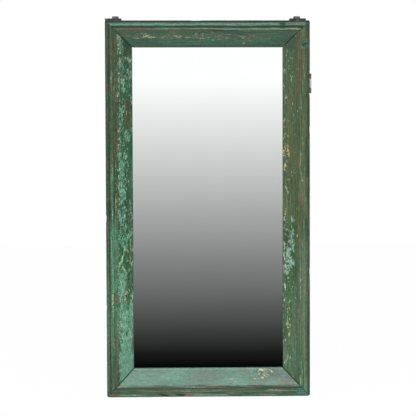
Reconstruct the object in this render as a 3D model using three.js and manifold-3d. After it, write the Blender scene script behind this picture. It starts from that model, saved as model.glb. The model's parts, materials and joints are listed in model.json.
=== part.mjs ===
// Wall mirror made from an old painted window shutter: a mitred, moulded wood frame round a
// silvered glass, with iron hanging brackets bolted over its top corners and one butt hinge
// left on its right-hand edge.
// Millimetres. +X is to the viewer's right, +Y towards the wall and +Z up. The origin is the
// middle of the frame's bottom edge, at half the frame's depth.

import * as THREE from 'three';
import { mergeVertices } from 'three/addons/utils/BufferGeometryUtils.js';
import Module from 'manifold-3d';

const wasm = await Module();
wasm.setup();

// ---------------------------------------------------------------- driving dimensions

// Frame
const frameWidth = 534;
const frameHeight = 985;
const frameDepth = 42;
const stileWidth = 70;
const topRailWidth = 68;
const bottomRailWidth = 73;
const mitreGap = 0.3;

// Moulding, measured across a stile from its outer edge (across) and back from its face (deep).
// A rail's run of the moulding is stretched to the rail's width, so the mitres are straight.
const edgeRadius = 4;
const outerFilletWidth = 9;
const firstQuirkWidth = 1.8;
const firstQuirkDepth = 2;
const wideBeadWidth = 10.5;
const wideBeadRise = 1.7;
const narrowBeadWidth = 6;
const narrowBeadRise = 1.5;
const beadGap = 0.8;
const beadFoot = 1.8;
const arrisWidth = 1.2;
const arrisDepth = 1.2;
const splayDrop = 18.5;
const sightFlatWidth = 2;
const sightEdgeThickness = 4.5;

// Rebate for the glass
const rebateWidth = 10;
const glassThickness = 4;
const glassEdgeGap = 1.5;
const boardThickness = 4;
const layerGap = 0.3;
const filletWidth = 8.6;
const filletThickness = 8;
const filletEdgeGap = 0.3;

// Mortise and tenon at each corner, measured from the frame's outer edges
const tenonThickness = 10;
const tenonFaceDepth = 25.5;
const tenonShoulder = 16;
const tenonWidth = 40;
const tenonEndWood = 12;
const tenonRoot = 30;
const mortiseGap = 0.3;
const pegRadius = 4;
const pegGap = 0.12;
const pegNoseDepth = 17;
const pegRecess = 0.4;
const outerPegAcross = 17;
const outerPegDown = 27;
const innerPegAcross = 43;
const innerPegDown = 50;

// Brads that pin the fillets to the frame
const bradRadius = 0.8;
const bradGap = 0.1;
const bradLength = 20;
const bradHeadRadius = 1.6;
const bradHeadHeight = 0.8;
const bradsPerLongFillet = 3;
const bradsPerShortFillet = 2;
const bradEndDistance = 90;

// Filled hole in the right stile
const plugRadius = 10.4;
const plugGap = 0.3;
const plugDepth = 12;
const plugAcross = 15;
const plugDown = 64;
const plugFaceDepth = 0.6;

// Hanging brackets
const bracketWidth = 42;
const bracketThickness = 5;
const bracketBend = 5;
const bracketFrontDepth = 5;
const bracketDrop = 76;
const leftBracketInset = 0.4;
const rightBracketInset = 10.4;
const bracketSeatGap = 0;
const keyholeEntryRadius = 5;
const keyholeSlotWidth = 5.5;
const keyholeTravel = 12;
const keyholeDown = 52;
const pocketDepth = 5;
const pocketMargin = 1.2;

// Coach screws through the brackets into the frame's top edge
const coachFlats = 17;
const coachHeadHeight = 6.4;
const coachShankRadius = 5;
const coachShankLength = 45;
const coachPointLength = 8;
const coachHoleGap = 0.15;
const coachDepth = 19;
const leftCoachInset = 27;
const rightCoachInset = 33.4;

// Wood screws in the brackets' back legs
const backScrewHeadRadius = 4.4;
const backScrewRadius = 2.25;
const backScrewLength = 21;
const upperBackScrewDown = 12;
const lowerBackScrewDown = 66;

// Butt hinge on the right-hand edge
const hingeHeight = 50.8;
const hingeDown = 138;
const hingeLeafReach = 17;
const hingeLeafThickness = 1.6;
const hingeBarrelRadius = 3.2;
const hingePinRadius = 1.5;
const hingePinGap = 0.06;
const hingeEndKnuckle = 13;
const hingeKnuckleGap = 0.3;
const hingeAxisDepth = 13;
const hingeHousingGap = 0.3;
const hingeBarrelRoom = 0.8;
const hingeNotchGap = 0.6;
const hingeScrewReach = 10.6;
const hingeScrewRadius = 1.75;
const hingeScrewHeadRadius = 3.3;
const hingeScrewLength = 16;
const hingeScrewSpacing = 18;
const hingeHoleRadius = 2.1;

// Screws: how much larger a hole is than what is in it, and the driver slot
const screwGap = 0.15;
const slotWidth = 0.9;
const slotDepth = 0.7;

// Facets of round work
const roundSides = 24;
const smallSides = 12;
const beadSteps = 6;

// ---------------------------------------------------------------- sizes worked out from them

const frontY = -frameDepth / 2;
const backY = frameDepth / 2;
const rightEdgeX = frameWidth / 2;
const sightBackDepth = arrisDepth + splayDrop + sightEdgeThickness;
const glassFaceDepth = sightBackDepth + layerGap;
const boardFaceDepth = glassFaceDepth + glassThickness + layerGap;
const filletFaceDepth = boardFaceDepth + boardThickness + layerGap;
const topScale = topRailWidth / stileWidth;
const bottomScale = bottomRailWidth / stileWidth;
const rebateAcross = stileWidth - rebateWidth;

const rawWood = new THREE.Color(0x7b5a3c);
const paintedWood = { color: 0x4a6f58, roughness: 0.75, metalness: 0 };
const bareWood = { color: rawWood.getHex(), roughness: 0.85, metalness: 0 };
const silveredGlass = { color: 0xe8ecec, roughness: 0.03, metalness: 1 };
const hardboard = { color: 0x6d4d33, roughness: 0.8, metalness: 0 };
const rustyIron = { color: 0x4c3b34, roughness: 0.7, metalness: 0.6 };
const rustyHinge = { color: 0x84533a, roughness: 0.8, metalness: 0.4 };
const steel = { color: 0xa4a9a3, roughness: 0.45, metalness: 0.9 };

// ---------------------------------------------------------------- solids

// A closed three.js geometry as a solid, with its doubled points merged and slivers dropped.
function solid(geometry) {
  const bare = geometry.index ? geometry.toNonIndexed() : geometry.clone();
  bare.deleteAttribute('normal');
  bare.deleteAttribute('uv');
  const merged = mergeVertices(bare, 1e-4);
  const corners = merged.index.array;
  const kept = [];
  for (let i = 0; i < corners.length; i += 3) {
    const [a, b, c] = [corners[i], corners[i + 1], corners[i + 2]];
    if (a !== b && b !== c && c !== a) kept.push(a, b, c);
  }
  const points = merged.attributes.position.array;
  const facing = new wasm.Manifold(
    new wasm.Mesh({ numProp: 3, vertProperties: points, triVerts: new Uint32Array(kept) }),
  );
  if (facing.volume() > 0) return facing;
  const turned = [];
  for (let i = 0; i < kept.length; i += 3) turned.push(kept[i], kept[i + 2], kept[i + 1]);
  return new wasm.Manifold(
    new wasm.Mesh({ numProp: 3, vertProperties: points, triVerts: new Uint32Array(turned) }),
  );
}

function geometryOf(made) {
  const mesh = made.getMesh();
  const geometry = new THREE.BufferGeometry();
  const points = new Float32Array(mesh.vertProperties);
  geometry.setAttribute('position', new THREE.BufferAttribute(points, 3));
  geometry.setIndex(new THREE.BufferAttribute(new Uint32Array(mesh.triVerts), 1));
  geometry.computeVertexNormals();
  return geometry;
}

function cut(body, ...tools) {
  return tools.reduce((left, tool) => left.subtract(tool), body);
}

function box(x, y, z) {
  const size = [x[1] - x[0], y[1] - y[0], z[1] - z[0]];
  const geometry = new THREE.BoxGeometry(...size);
  geometry.translate((x[0] + x[1]) / 2, (y[0] + y[1]) / 2, (z[0] + z[1]) / 2);
  return solid(geometry);
}

// A round solid from its (radius, height) outline, turned so its height runs along a direction
// and its height 0 is at a point.
function turned(outline, direction, at, sides = smallSides) {
  const points = outline.map(([radius, height]) => new THREE.Vector2(radius, height));
  const geometry = new THREE.LatheGeometry(points, sides);
  const up = new THREE.Vector3(0, 1, 0);
  geometry.applyQuaternion(new THREE.Quaternion().setFromUnitVectors(up, direction));
  geometry.translate(at.x, at.y, at.z);
  return solid(geometry);
}

function rod(radius, length, direction, at, sides = smallSides) {
  return turned([[0, 0], [radius, 0], [radius, length], [0, length]], direction, at, sides);
}

const towardsWall = new THREE.Vector3(0, 1, 0);
const towardsViewer = new THREE.Vector3(0, -1, 0);
const upwards = new THREE.Vector3(0, 0, 1);
const downwards = new THREE.Vector3(0, 0, -1);
const rightwards = new THREE.Vector3(1, 0, 0);
const leftwards = new THREE.Vector3(-1, 0, 0);

const at = (x, y, z) => new THREE.Vector3(x, y, z);

// ---------------------------------------------------------------- places in the frame

// Points are given by how far they lie in from a side edge, down from the top edge or up
// from the bottom edge, and back from the face.
const sideX = (side, across) => side * (rightEdgeX - across);
const endZ = (end, inwards) => (end > 0 ? frameHeight - inwards : inwards);
const depthY = (deep) => frontY + deep;
const railAcross = (end, across) => across * (end > 0 ? topScale : bottomScale);

// The corner of the frame's four moulding lines that lie at one distance across a stile.
const cornerPoint = (side, end, across) => ({
  x: sideX(side, across),
  z: endZ(end, railAcross(end, across)),
});

// ---------------------------------------------------------------- moulding

function beadPoints(start, width, foot, rise) {
  const radius = (width * width / 4 + rise * rise) / (2 * rise);
  const centre = foot - rise + radius;
  const half = Math.asin(width / 2 / radius);
  const points = [];
  for (let i = 0; i <= beadSteps; i += 1) {
    const angle = -half + (2 * half * i) / beadSteps;
    points.push([start + width / 2 + radius * Math.sin(angle), centre - radius * Math.cos(angle)]);
  }
  return points;
}

// Outline of a stile's section as (across, deep) points, from the back of the outer edge,
// over the face and round the rebate.
function mouldingOutline() {
  const outline = [[0, frameDepth]];
  for (let i = 0; i <= beadSteps; i += 1) {
    const angle = (Math.PI / 2) * (i / beadSteps);
    outline.push([edgeRadius * (1 - Math.cos(angle)), edgeRadius * (1 - Math.sin(angle))]);
  }
  outline.push([outerFilletWidth, 0]);
  outline.push([outerFilletWidth + firstQuirkWidth / 2, firstQuirkDepth]);
  const wideStart = outerFilletWidth + firstQuirkWidth;
  outline.push(...beadPoints(wideStart, wideBeadWidth, beadFoot, wideBeadRise));
  const narrowStart = wideStart + wideBeadWidth + beadGap;
  outline.push(...beadPoints(narrowStart, narrowBeadWidth, beadFoot, narrowBeadRise));
  const arrisAcross = narrowStart + narrowBeadWidth + arrisWidth;
  outline.push([arrisAcross, arrisDepth]);
  outline.push([stileWidth - sightFlatWidth, arrisDepth + splayDrop]);
  outline.push([stileWidth, arrisDepth + splayDrop]);
  outline.push([stileWidth, sightBackDepth]);
  outline.push([rebateAcross, sightBackDepth]);
  outline.push([rebateAcross, frameDepth]);
  return outline;
}

// One mitred member: the section drawn out between two corners of the frame.
function member(from, to) {
  const shape = new THREE.Shape(mouldingOutline().map(([u, v]) => new THREE.Vector2(u, v)));
  const geometry = new THREE.ExtrudeGeometry(shape, { depth: 1, bevelEnabled: false });
  const position = geometry.attributes.position;
  for (let i = 0; i < position.count; i += 1) {
    const across = position.getX(i);
    const start = cornerPoint(...from, across);
    const end = cornerPoint(...to, across);
    const run = Math.hypot(end.x - start.x, end.z - start.z);
    const inset = (mitreGap * Math.SQRT1_2) / run;
    const share = position.getZ(i) > 0.5 ? 1 - inset : inset;
    const x = THREE.MathUtils.lerp(start.x, end.x, share);
    const z = THREE.MathUtils.lerp(start.z, end.z, share);
    position.setXYZ(i, x, depthY(position.getY(i)), z);
  }
  return solid(geometry);
}

// ---------------------------------------------------------------- corner joints

const corners = [
  { name: 'top_left', side: -1, end: 1 },
  { name: 'top_right', side: 1, end: 1 },
  { name: 'bottom_left', side: -1, end: -1 },
  { name: 'bottom_right', side: 1, end: -1 },
];

const ordered = (a, b) => (a < b ? [a, b] : [b, a]);

function tenonBox({ side, end }, gap) {
  const x = ordered(sideX(side, tenonEndWood - gap), sideX(side, stileWidth + tenonRoot));
  const faces = [depthY(tenonFaceDepth - gap), depthY(tenonFaceDepth + tenonThickness + gap)];
  const z = ordered(endZ(end, tenonShoulder - gap), endZ(end, tenonShoulder + tenonWidth + gap));
  return box(x, faces, z);
}

const pegPlaces = [
  { name: 'outer', across: outerPegAcross, down: outerPegDown },
  { name: 'inner', across: innerPegAcross, down: innerPegDown },
];

function pegSolid({ side, end }, { across, down }, gap) {
  const nose = at(sideX(side, across), depthY(pegNoseDepth - gap), endZ(end, down));
  const length = frameDepth - pegNoseDepth + gap + (gap > 0 ? gap : -pegRecess);
  return rod(pegRadius + gap, length, towardsWall, nose, smallSides);
}

const pegBores = (corner) => pegPlaces.map((place) => pegSolid(corner, place, pegGap));

// ---------------------------------------------------------------- screws

// A countersunk screw with a slotted head whose top is at a point. The gap grows it into the
// hole that it sits in.
function countersunkScrew(headRadius, shankRadius, length, direction, top, gap = 0) {
  const cone = headRadius - shankRadius;
  const outline = [
    [0, gap > 0 ? -gap : 0],
    [headRadius + gap, gap > 0 ? -gap : 0],
    [headRadius + gap, 0.2],
    [shankRadius + gap, cone + 0.2],
    [shankRadius + gap, length * 0.8],
    [gap, length + gap],
    [0, length + gap],
  ].filter(([radius], i, all) => i === all.length - 1 || i === 0 || radius > 0);
  const made = turned(outline, direction, top, smallSides);
  if (gap > 0) return made;
  const across = Math.abs(direction.z) > 0.5 ? rightwards : upwards;
  const slot = rodSlot(headRadius, direction, across, top);
  return made.subtract(slot);
}

// The driver slot across a screw's head.
function rodSlot(headRadius, direction, across, top) {
  const geometry = new THREE.BoxGeometry(slotWidth, slotDepth * 2, headRadius * 3);
  const sideways = new THREE.Vector3().crossVectors(direction, across);
  geometry.applyMatrix4(new THREE.Matrix4().makeBasis(sideways, direction, across));
  geometry.translate(top.x, top.y, top.z);
  return solid(geometry);
}

// ---------------------------------------------------------------- brackets and coach screws

const brackets = [
  { name: 'left', side: -1, inset: leftBracketInset, coachInset: leftCoachInset },
  { name: 'right', side: 1, inset: rightBracketInset, coachInset: rightCoachInset },
];

const bracketMiddleX = ({ side, inset }) => sideX(side, inset + bracketWidth / 2);
const backFaceY = backY + bracketSeatGap + bracketThickness;
const topFaceZ = frameHeight + bracketSeatGap + bracketThickness;

// The L of a bracket seen from the side, with a round outer bend.
function bracketBlank(bracket) {
  const innerY = backY + bracketSeatGap;
  const innerZ = frameHeight + bracketSeatGap;
  const shape = new THREE.Shape();
  shape.moveTo(depthY(bracketFrontDepth), innerZ);
  shape.lineTo(innerY, innerZ);
  shape.lineTo(innerY, frameHeight - bracketDrop);
  shape.lineTo(backFaceY, frameHeight - bracketDrop);
  shape.lineTo(backFaceY, topFaceZ - bracketBend);
  shape.absarc(backFaceY - bracketBend, topFaceZ - bracketBend, bracketBend, 0, Math.PI / 2, false);
  shape.lineTo(depthY(bracketFrontDepth), topFaceZ);
  shape.closePath();
  const settings = { depth: bracketWidth, bevelEnabled: false, curveSegments: beadSteps };
  const geometry = new THREE.ExtrudeGeometry(shape, settings);
  const axes = new THREE.Matrix4().makeBasis(towardsWall, upwards, rightwards);
  geometry.applyMatrix4(axes);
  geometry.translate(bracketMiddleX(bracket) - bracketWidth / 2, 0, 0);
  return solid(geometry);
}

// Outline of a keyhole: a round entry below and a slot that rises from it.
function keyhole(bracket, margin, fromY, toY) {
  const x = bracketMiddleX(bracket);
  const entryZ = frameHeight - keyholeDown;
  const slotRadius = keyholeSlotWidth / 2;
  const length = toY - fromY;
  const entryAt = at(x, fromY, entryZ);
  const entry = rod(keyholeEntryRadius + margin, length, towardsWall, entryAt, roundSides);
  const slotHalf = (margin > 0 ? keyholeEntryRadius : slotRadius) + margin;
  const slotEndAt = at(x, fromY, entryZ + keyholeTravel);
  const slotEnd = rod(slotHalf, length, towardsWall, slotEndAt, roundSides);
  const flatHalf = slotHalf * Math.cos(Math.PI / roundSides);
  const x0 = [x - flatHalf, x + flatHalf];
  const slot = box(x0, [fromY, toY], [entryZ, entryZ + keyholeTravel]);
  return entry.add(slot).add(slotEnd);
}

// The pocket in the wood behind a keyhole, where the wall screw's head goes.
const headPocket = (bracket) =>
  keyhole(bracket, pocketMargin, backY - pocketDepth, backY + bracketThickness);

const coachTop = ({ side, coachInset }) => at(sideX(side, coachInset), depthY(coachDepth), topFaceZ);

// The gap grows a coach screw's shank into its bore.
function coachShank(bracket, gap = 0) {
  const point = coachShankLength;
  const outline = [
    [0, -gap],
    [coachShankRadius + gap, -gap],
    [coachShankRadius + gap, point - coachPointLength],
    [gap, point + gap],
    [0, point + gap],
  ].filter(([radius], i, all) => i === all.length - 1 || i === 0 || radius > 0);
  return turned(outline, downwards, coachTop(bracket), smallSides);
}

function coachScrew(bracket) {
  const cornerRadius = coachFlats / 2 / Math.cos(Math.PI / 6);
  const head = rod(cornerRadius, coachHeadHeight, upwards, coachTop(bracket), 6);
  const chamfer = turned(
    [
      [0, -coachHeadHeight],
      [cornerRadius * 1.6, -coachHeadHeight],
      [cornerRadius * 0.86, coachHeadHeight],
      [0, coachHeadHeight],
    ],
    upwards,
    coachTop(bracket),
    roundSides,
  );
  return head.intersect(chamfer).add(coachShank(bracket));
}

function backScrew(bracket, down, gap = 0) {
  const top = at(bracketMiddleX(bracket), backFaceY, frameHeight - down);
  const sizes = [backScrewHeadRadius, backScrewRadius, backScrewLength];
  return countersunkScrew(...sizes, towardsViewer, top, gap);
}

const backScrewPlaces = [
  { name: 'upper', down: upperBackScrewDown },
  { name: 'lower', down: lowerBackScrewDown },
];

const backScrewHoles = (bracket) =>
  backScrewPlaces.map(({ down }) => backScrew(bracket, down, screwGap));

function hangingBracket(bracket) {
  const slot = keyhole(bracket, 0, backY - 1, backFaceY + 1);
  const hole = coachShank(bracket, coachHoleGap);
  return cut(bracketBlank(bracket), slot, hole, ...backScrewHoles(bracket));
}

const bracketCuts = (bracket) => [
  headPocket(bracket),
  coachShank(bracket, coachHoleGap),
  ...backScrewHoles(bracket),
];

// ---------------------------------------------------------------- butt hinge

const hingeAxisX = rightEdgeX - hingeLeafThickness + hingeBarrelRadius;
const hingeAxisY = depthY(hingeAxisDepth);
const hingeTopZ = frameHeight - hingeDown;
const hingeBottomZ = hingeTopZ - hingeHeight;
const middleKnuckle = [
  hingeBottomZ + hingeEndKnuckle + hingeKnuckleGap,
  hingeTopZ - hingeEndKnuckle - hingeKnuckleGap,
];
const endKnuckles = [
  [hingeBottomZ, hingeBottomZ + hingeEndKnuckle],
  [hingeTopZ - hingeEndKnuckle, hingeTopZ],
];
const hingeScrewHeights = [-1, 0, 1].map(
  (step) => (hingeTopZ + hingeBottomZ) / 2 + step * hingeScrewSpacing,
);

const knuckle = ([low, high], radius) =>
  rod(radius, high - low, upwards, at(hingeAxisX, hingeAxisY, low), roundSides);

// A leaf lies beside the barrel: side -1 is let into the frame's edge, side 1 lies over it.
function hingeLeaf(side, ownKnuckles, otherKnuckles) {
  const outside = hingeAxisX + side * hingeBarrelRadius * Math.cos(Math.PI / roundSides);
  const inside = hingeAxisX + side * (hingeBarrelRadius - hingeLeafThickness);
  const ends = [hingeBottomZ, hingeTopZ];
  let leaf = box(ordered(inside, outside), [hingeAxisY, hingeAxisY + hingeLeafReach], ends);
  const clear = hingeBarrelRadius + hingeNotchGap;
  for (const [low, high] of otherKnuckles) {
    const z = [low - hingeKnuckleGap, high + hingeKnuckleGap];
    leaf = leaf.subtract(knuckle(z, clear));
  }
  for (const ends of ownKnuckles) leaf = leaf.add(knuckle(ends, hingeBarrelRadius));
  const bore = knuckle([hingeBottomZ - 1, hingeTopZ + 1], hingePinRadius + hingePinGap);
  return leaf.subtract(bore);
}

const hingeScrewTop = (z) =>
  at(hingeAxisX - hingeBarrelRadius + hingeLeafThickness, hingeAxisY + hingeScrewReach, z);

function hingeScrew(z, gap = 0) {
  const sizes = [hingeScrewHeadRadius, hingeScrewRadius, hingeScrewLength];
  return countersunkScrew(...sizes, leftwards, hingeScrewTop(z), gap);
}

// An empty screw hole in the loose leaf, countersunk on the face turned to the other leaf.
function emptyHingeHole(z) {
  const top = at(hingeAxisX + hingeBarrelRadius - hingeLeafThickness, hingeScrewTop(z).y, z);
  const outline = [
    [0, -screwGap],
    [hingeScrewHeadRadius + screwGap, -screwGap],
    [hingeScrewHeadRadius + screwGap, 0],
    [hingeHoleRadius, hingeScrewHeadRadius - hingeHoleRadius],
    [hingeHoleRadius, hingeLeafThickness * 2],
    [0, hingeLeafThickness * 2],
  ];
  return turned(outline, rightwards, top, smallSides);
}

// The shallow housing in the frame's edge for the leaf and the back of the barrel.
function hingeHousing() {
  const x = [rightEdgeX - hingeLeafThickness - hingeHousingGap, rightEdgeX + 1];
  const front = hingeAxisY - hingeBarrelRadius - hingeBarrelRoom;
  const y = [front, hingeAxisY + hingeLeafReach + hingeHousingGap];
  return box(x, y, [hingeBottomZ - hingeHousingGap, hingeTopZ + hingeHousingGap]);
}

// ---------------------------------------------------------------- glass, board and fillets

const openingHalfWidth = rightEdgeX - rebateAcross;
const rebateTopZ = frameHeight - rebateAcross * topScale;
const rebateBottomZ = rebateAcross * bottomScale;

function sheetInRebate(thickness, faceDepth, edgeGap) {
  const half = openingHalfWidth - edgeGap;
  const y = [depthY(faceDepth), depthY(faceDepth + thickness)];
  return box([-half, half], y, [rebateBottomZ + edgeGap, rebateTopZ - edgeGap]);
}

const filletY = [depthY(filletFaceDepth), depthY(filletFaceDepth + filletThickness)];

function longFillet(side) {
  const outer = side * (openingHalfWidth - filletEdgeGap);
  const inner = outer - side * filletWidth;
  return box(ordered(outer, inner), filletY, [
    rebateBottomZ + filletEdgeGap,
    rebateTopZ - filletEdgeGap,
  ]);
}

function shortFillet(end) {
  const half = openingHalfWidth - filletWidth - 2 * filletEdgeGap;
  const wallZ = end > 0 ? rebateTopZ : rebateBottomZ;
  const outer = wallZ - end * filletEdgeGap;
  return box([-half, half], filletY, ordered(outer, outer - end * filletWidth));
}

// A brad driven through a fillet into the rebate's wall. The gap grows it into its bore.
function brad(direction, head, gap = 0) {
  const outline = [
    [0, -gap],
    [bradHeadRadius + gap, -gap],
    [bradHeadRadius + gap, bradHeadHeight + gap],
    [bradRadius + gap, bradHeadHeight + gap],
    [bradRadius + gap, bradLength + gap],
    [0, bradLength + gap],
  ];
  return turned(outline, direction, head, 8);
}

function evenly(low, high, count) {
  if (count < 2) return [(low + high) / 2];
  return Array.from({ length: count }, (_, i) => low + ((high - low) * i) / (count - 1));
}

const bradY = (filletY[0] + filletY[1]) / 2;

function sideBradPlaces(side) {
  const x = side * (openingHalfWidth - filletEdgeGap - filletWidth);
  const low = rebateBottomZ + bradEndDistance;
  const high = rebateTopZ - bradEndDistance;
  return evenly(low, high, bradsPerLongFillet).map((z) => at(x, bradY, z));
}

function endBradPlaces(end) {
  const wallZ = end > 0 ? rebateTopZ : rebateBottomZ;
  const z = wallZ - end * (filletEdgeGap + filletWidth);
  const half = openingHalfWidth - bradEndDistance;
  return evenly(-half, half, bradsPerShortFillet).map((x) => at(x, bradY, z));
}

// ---------------------------------------------------------------- the assembly

const mirror = new THREE.Group();

function add(name, made, look) {
  const mesh = new THREE.Mesh(geometryOf(made), new THREE.MeshStandardMaterial(look));
  mesh.name = name;
  mirror.add(mesh);
}

const stiles = [
  { name: 'left_stile', side: -1, bracket: brackets[0] },
  { name: 'right_stile', side: 1, bracket: brackets[1] },
];

function filledHole(gap) {
  const centre = at(
    sideX(1, plugAcross),
    depthY(plugFaceDepth - (gap > 0 ? 5 : 0)),
    frameHeight - plugDown,
  );
  const length = plugDepth + gap - plugFaceDepth + (gap > 0 ? 5 : 0);
  return rod(plugRadius + gap, length, towardsWall, centre, roundSides);
}

for (const { name, side, bracket } of stiles) {
  const outwards = side > 0 ? rightwards : leftwards;
  const joints = corners.filter((corner) => corner.side === side);
  let stile = member([side, -1], [side, 1]);
  stile = cut(stile, ...joints.map((corner) => tenonBox(corner, mortiseGap)));
  stile = cut(stile, ...joints.flatMap(pegBores), ...bracketCuts(bracket));
  stile = cut(stile, ...sideBradPlaces(side).map((head) => brad(outwards, head, bradGap)));
  if (side > 0) {
    const screwBores = hingeScrewHeights.map((z) => hingeScrew(z, screwGap));
    stile = cut(stile, filledHole(plugGap), hingeHousing(), ...screwBores);
  }
  add(name, stile, paintedWood);
}

const rails = [
  { name: 'top_rail', end: 1 },
  { name: 'bottom_rail', end: -1 },
];

for (const { name, end } of rails) {
  const outwards = end > 0 ? upwards : downwards;
  const joints = corners.filter((corner) => corner.end === end);
  let rail = member([-1, end], [1, end]);
  for (const corner of joints) rail = rail.add(tenonBox(corner, 0));
  rail = cut(rail, ...joints.flatMap(pegBores));
  rail = cut(rail, ...endBradPlaces(end).map((head) => brad(outwards, head, bradGap)));
  if (end > 0) rail = cut(rail, ...brackets.flatMap(bracketCuts));
  add(name, rail, paintedWood);
}

for (const corner of corners) {
  for (const place of pegPlaces) {
    add(`${corner.name}_${place.name}_peg`, pegSolid(corner, place, 0), bareWood);
  }
}

add('hole_plug', filledHole(0), paintedWood);
add('mirror_glass', sheetInRebate(glassThickness, glassFaceDepth, glassEdgeGap), silveredGlass);
add('backing_board', sheetInRebate(boardThickness, boardFaceDepth, glassEdgeGap), hardboard);

const fillets = [
  { name: 'left', made: longFillet(-1), places: sideBradPlaces(-1), outwards: leftwards },
  { name: 'right', made: longFillet(1), places: sideBradPlaces(1), outwards: rightwards },
  { name: 'top', made: shortFillet(1), places: endBradPlaces(1), outwards: upwards },
  { name: 'bottom', made: shortFillet(-1), places: endBradPlaces(-1), outwards: downwards },
];

for (const { name, made, places, outwards } of fillets) {
  const bores = places.map((head) => brad(outwards, head, bradGap));
  add(`${name}_fillet`, cut(made, ...bores), bareWood);
  places.forEach((head, i) => add(`${name}_brad_${i + 1}`, brad(outwards, head), steel));
}

for (const bracket of brackets) {
  add(`${bracket.name}_hanging_bracket`, hangingBracket(bracket), rustyIron);
  add(`${bracket.name}_coach_screw`, coachScrew(bracket), steel);
  for (const { name, down } of backScrewPlaces) {
    add(`${bracket.name}_${name}_bracket_screw`, backScrew(bracket, down), steel);
  }
}

const frameLeaf = hingeLeaf(-1, endKnuckles, [middleKnuckle]);
const leafHoles = hingeScrewHeights.map((z) => hingeScrew(z, screwGap));
add('hinge_frame_leaf', cut(frameLeaf, ...leafHoles), rustyHinge);
hingeScrewHeights.forEach((z, i) => add(`hinge_screw_${i + 1}`, hingeScrew(z), rustyHinge));
add('hinge_pin', knuckle([hingeBottomZ, hingeTopZ], hingePinRadius), steel);

const looseLeaf = hingeLeaf(1, [middleKnuckle], endKnuckles);
add('hinge_loose_leaf', cut(looseLeaf, ...hingeScrewHeights.map(emptyHingeHole)), steel);

export default mirror;
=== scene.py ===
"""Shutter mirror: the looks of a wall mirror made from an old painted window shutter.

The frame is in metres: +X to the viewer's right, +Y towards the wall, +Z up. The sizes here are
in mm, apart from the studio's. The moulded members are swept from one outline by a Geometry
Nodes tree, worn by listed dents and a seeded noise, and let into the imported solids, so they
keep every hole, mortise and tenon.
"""

import json
import math

import bmesh
import bpy
import numpy as np
from mathutils import Matrix, Vector


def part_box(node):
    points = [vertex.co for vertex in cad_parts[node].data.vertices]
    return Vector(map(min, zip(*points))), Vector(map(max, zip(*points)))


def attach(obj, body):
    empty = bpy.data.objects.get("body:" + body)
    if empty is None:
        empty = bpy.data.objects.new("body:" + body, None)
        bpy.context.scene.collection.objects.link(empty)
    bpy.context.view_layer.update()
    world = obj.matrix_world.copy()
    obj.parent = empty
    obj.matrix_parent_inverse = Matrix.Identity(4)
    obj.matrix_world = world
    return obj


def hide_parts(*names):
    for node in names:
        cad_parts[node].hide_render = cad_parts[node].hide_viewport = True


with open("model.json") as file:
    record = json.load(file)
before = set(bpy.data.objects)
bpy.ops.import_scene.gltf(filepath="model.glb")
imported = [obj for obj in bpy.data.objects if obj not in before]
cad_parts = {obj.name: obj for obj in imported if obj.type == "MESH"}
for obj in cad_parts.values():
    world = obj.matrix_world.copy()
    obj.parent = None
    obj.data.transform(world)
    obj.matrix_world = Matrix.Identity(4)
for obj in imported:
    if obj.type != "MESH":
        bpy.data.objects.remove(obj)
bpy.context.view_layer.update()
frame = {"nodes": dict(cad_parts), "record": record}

MM = 0.001

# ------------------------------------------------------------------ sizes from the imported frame


def box_mm(node):
    """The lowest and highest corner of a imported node, in millimetres."""
    low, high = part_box(node)
    return np.array(low) / MM, np.array(high) / MM


LEFT_X = box_mm("left_stile")[0][0]
RIGHT_X = box_mm("right_stile")[1][0]
FRONT_Y, BACK_Y = box_mm("left_stile")[0][1], box_mm("left_stile")[1][1]
TOP_Z = box_mm("top_rail")[1][2]
STILE = box_mm("left_stile")[1][0] - LEFT_X
TOP_RAIL = TOP_Z - box_mm("top_rail")[0][2]
BOTTOM_RAIL = box_mm("bottom_rail")[1][2]
WIDTH = RIGHT_X - LEFT_X
DEPTH = BACK_Y - FRONT_Y

# ------------------------------------------------------------------ the moulding's section, in mm

EDGE_ROUND = 4
OUTER_FILLET = 9
QUIRK_WIDTH = 1.8
QUIRK_DEPTH = 2
# A bead's width, and its rise from its foot.
WIDE_BEAD = (10.5, 1.7)
NARROW_BEAD = (6, 1.5)
BEAD_GAP = 0.8
BEAD_FOOT = 1.8
ARRIS_WIDTH = 1.2
ARRIS_DEPTH = 1.2
SPLAY_DROP = 18.5
SIGHT_FLAT = 2
SIGHT_EDGE = 4.5
REBATE = 10

WIDE_START = OUTER_FILLET + QUIRK_WIDTH
NARROW_START = WIDE_START + WIDE_BEAD[0] + BEAD_GAP
ARRIS = NARROW_START + NARROW_BEAD[0] + ARRIS_WIDTH
SPLAY_FOOT = ARRIS_DEPTH + SPLAY_DROP

# How finely the section and the sweep are cut.
FACE_STEP = 0.9
BACK_STEP = 6
RING_STEP = 2
BEAD_STEPS = 14
ROUND_STEPS = 8

# The worn sweep runs past its mitres, and its planed face wanders in depth over a length.
OVERRUN = 0.5
UNEVENNESS = 0.25
WANDER = 60
# The envelope stands out round it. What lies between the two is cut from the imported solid.
ENVELOPE = 0.6

# Edges that turn by more than this many degrees stay crisp.
MEMBER_CREASE, PUTTY_CREASE, DRESSED_CREASE = 38, 50, 32

# What weather has taken everywhere, the rounds that knocks have left on the frame's outer corners,
# and the size of the nail holes.
PAINT_LOSS = 0.12
CORNER_ROUND = {"bottom": 6.0, "top": 2.5}
NAIL_RADIUS = 1.3
NAIL_DEPTH = 1.6

MEMBER_WIDTH = {"left_stile": STILE, "right_stile": STILE, "top_rail": TOP_RAIL,
                "bottom_rail": BOTTOM_RAIL}


# ------------------------------------------------------------------ small tools


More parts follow.
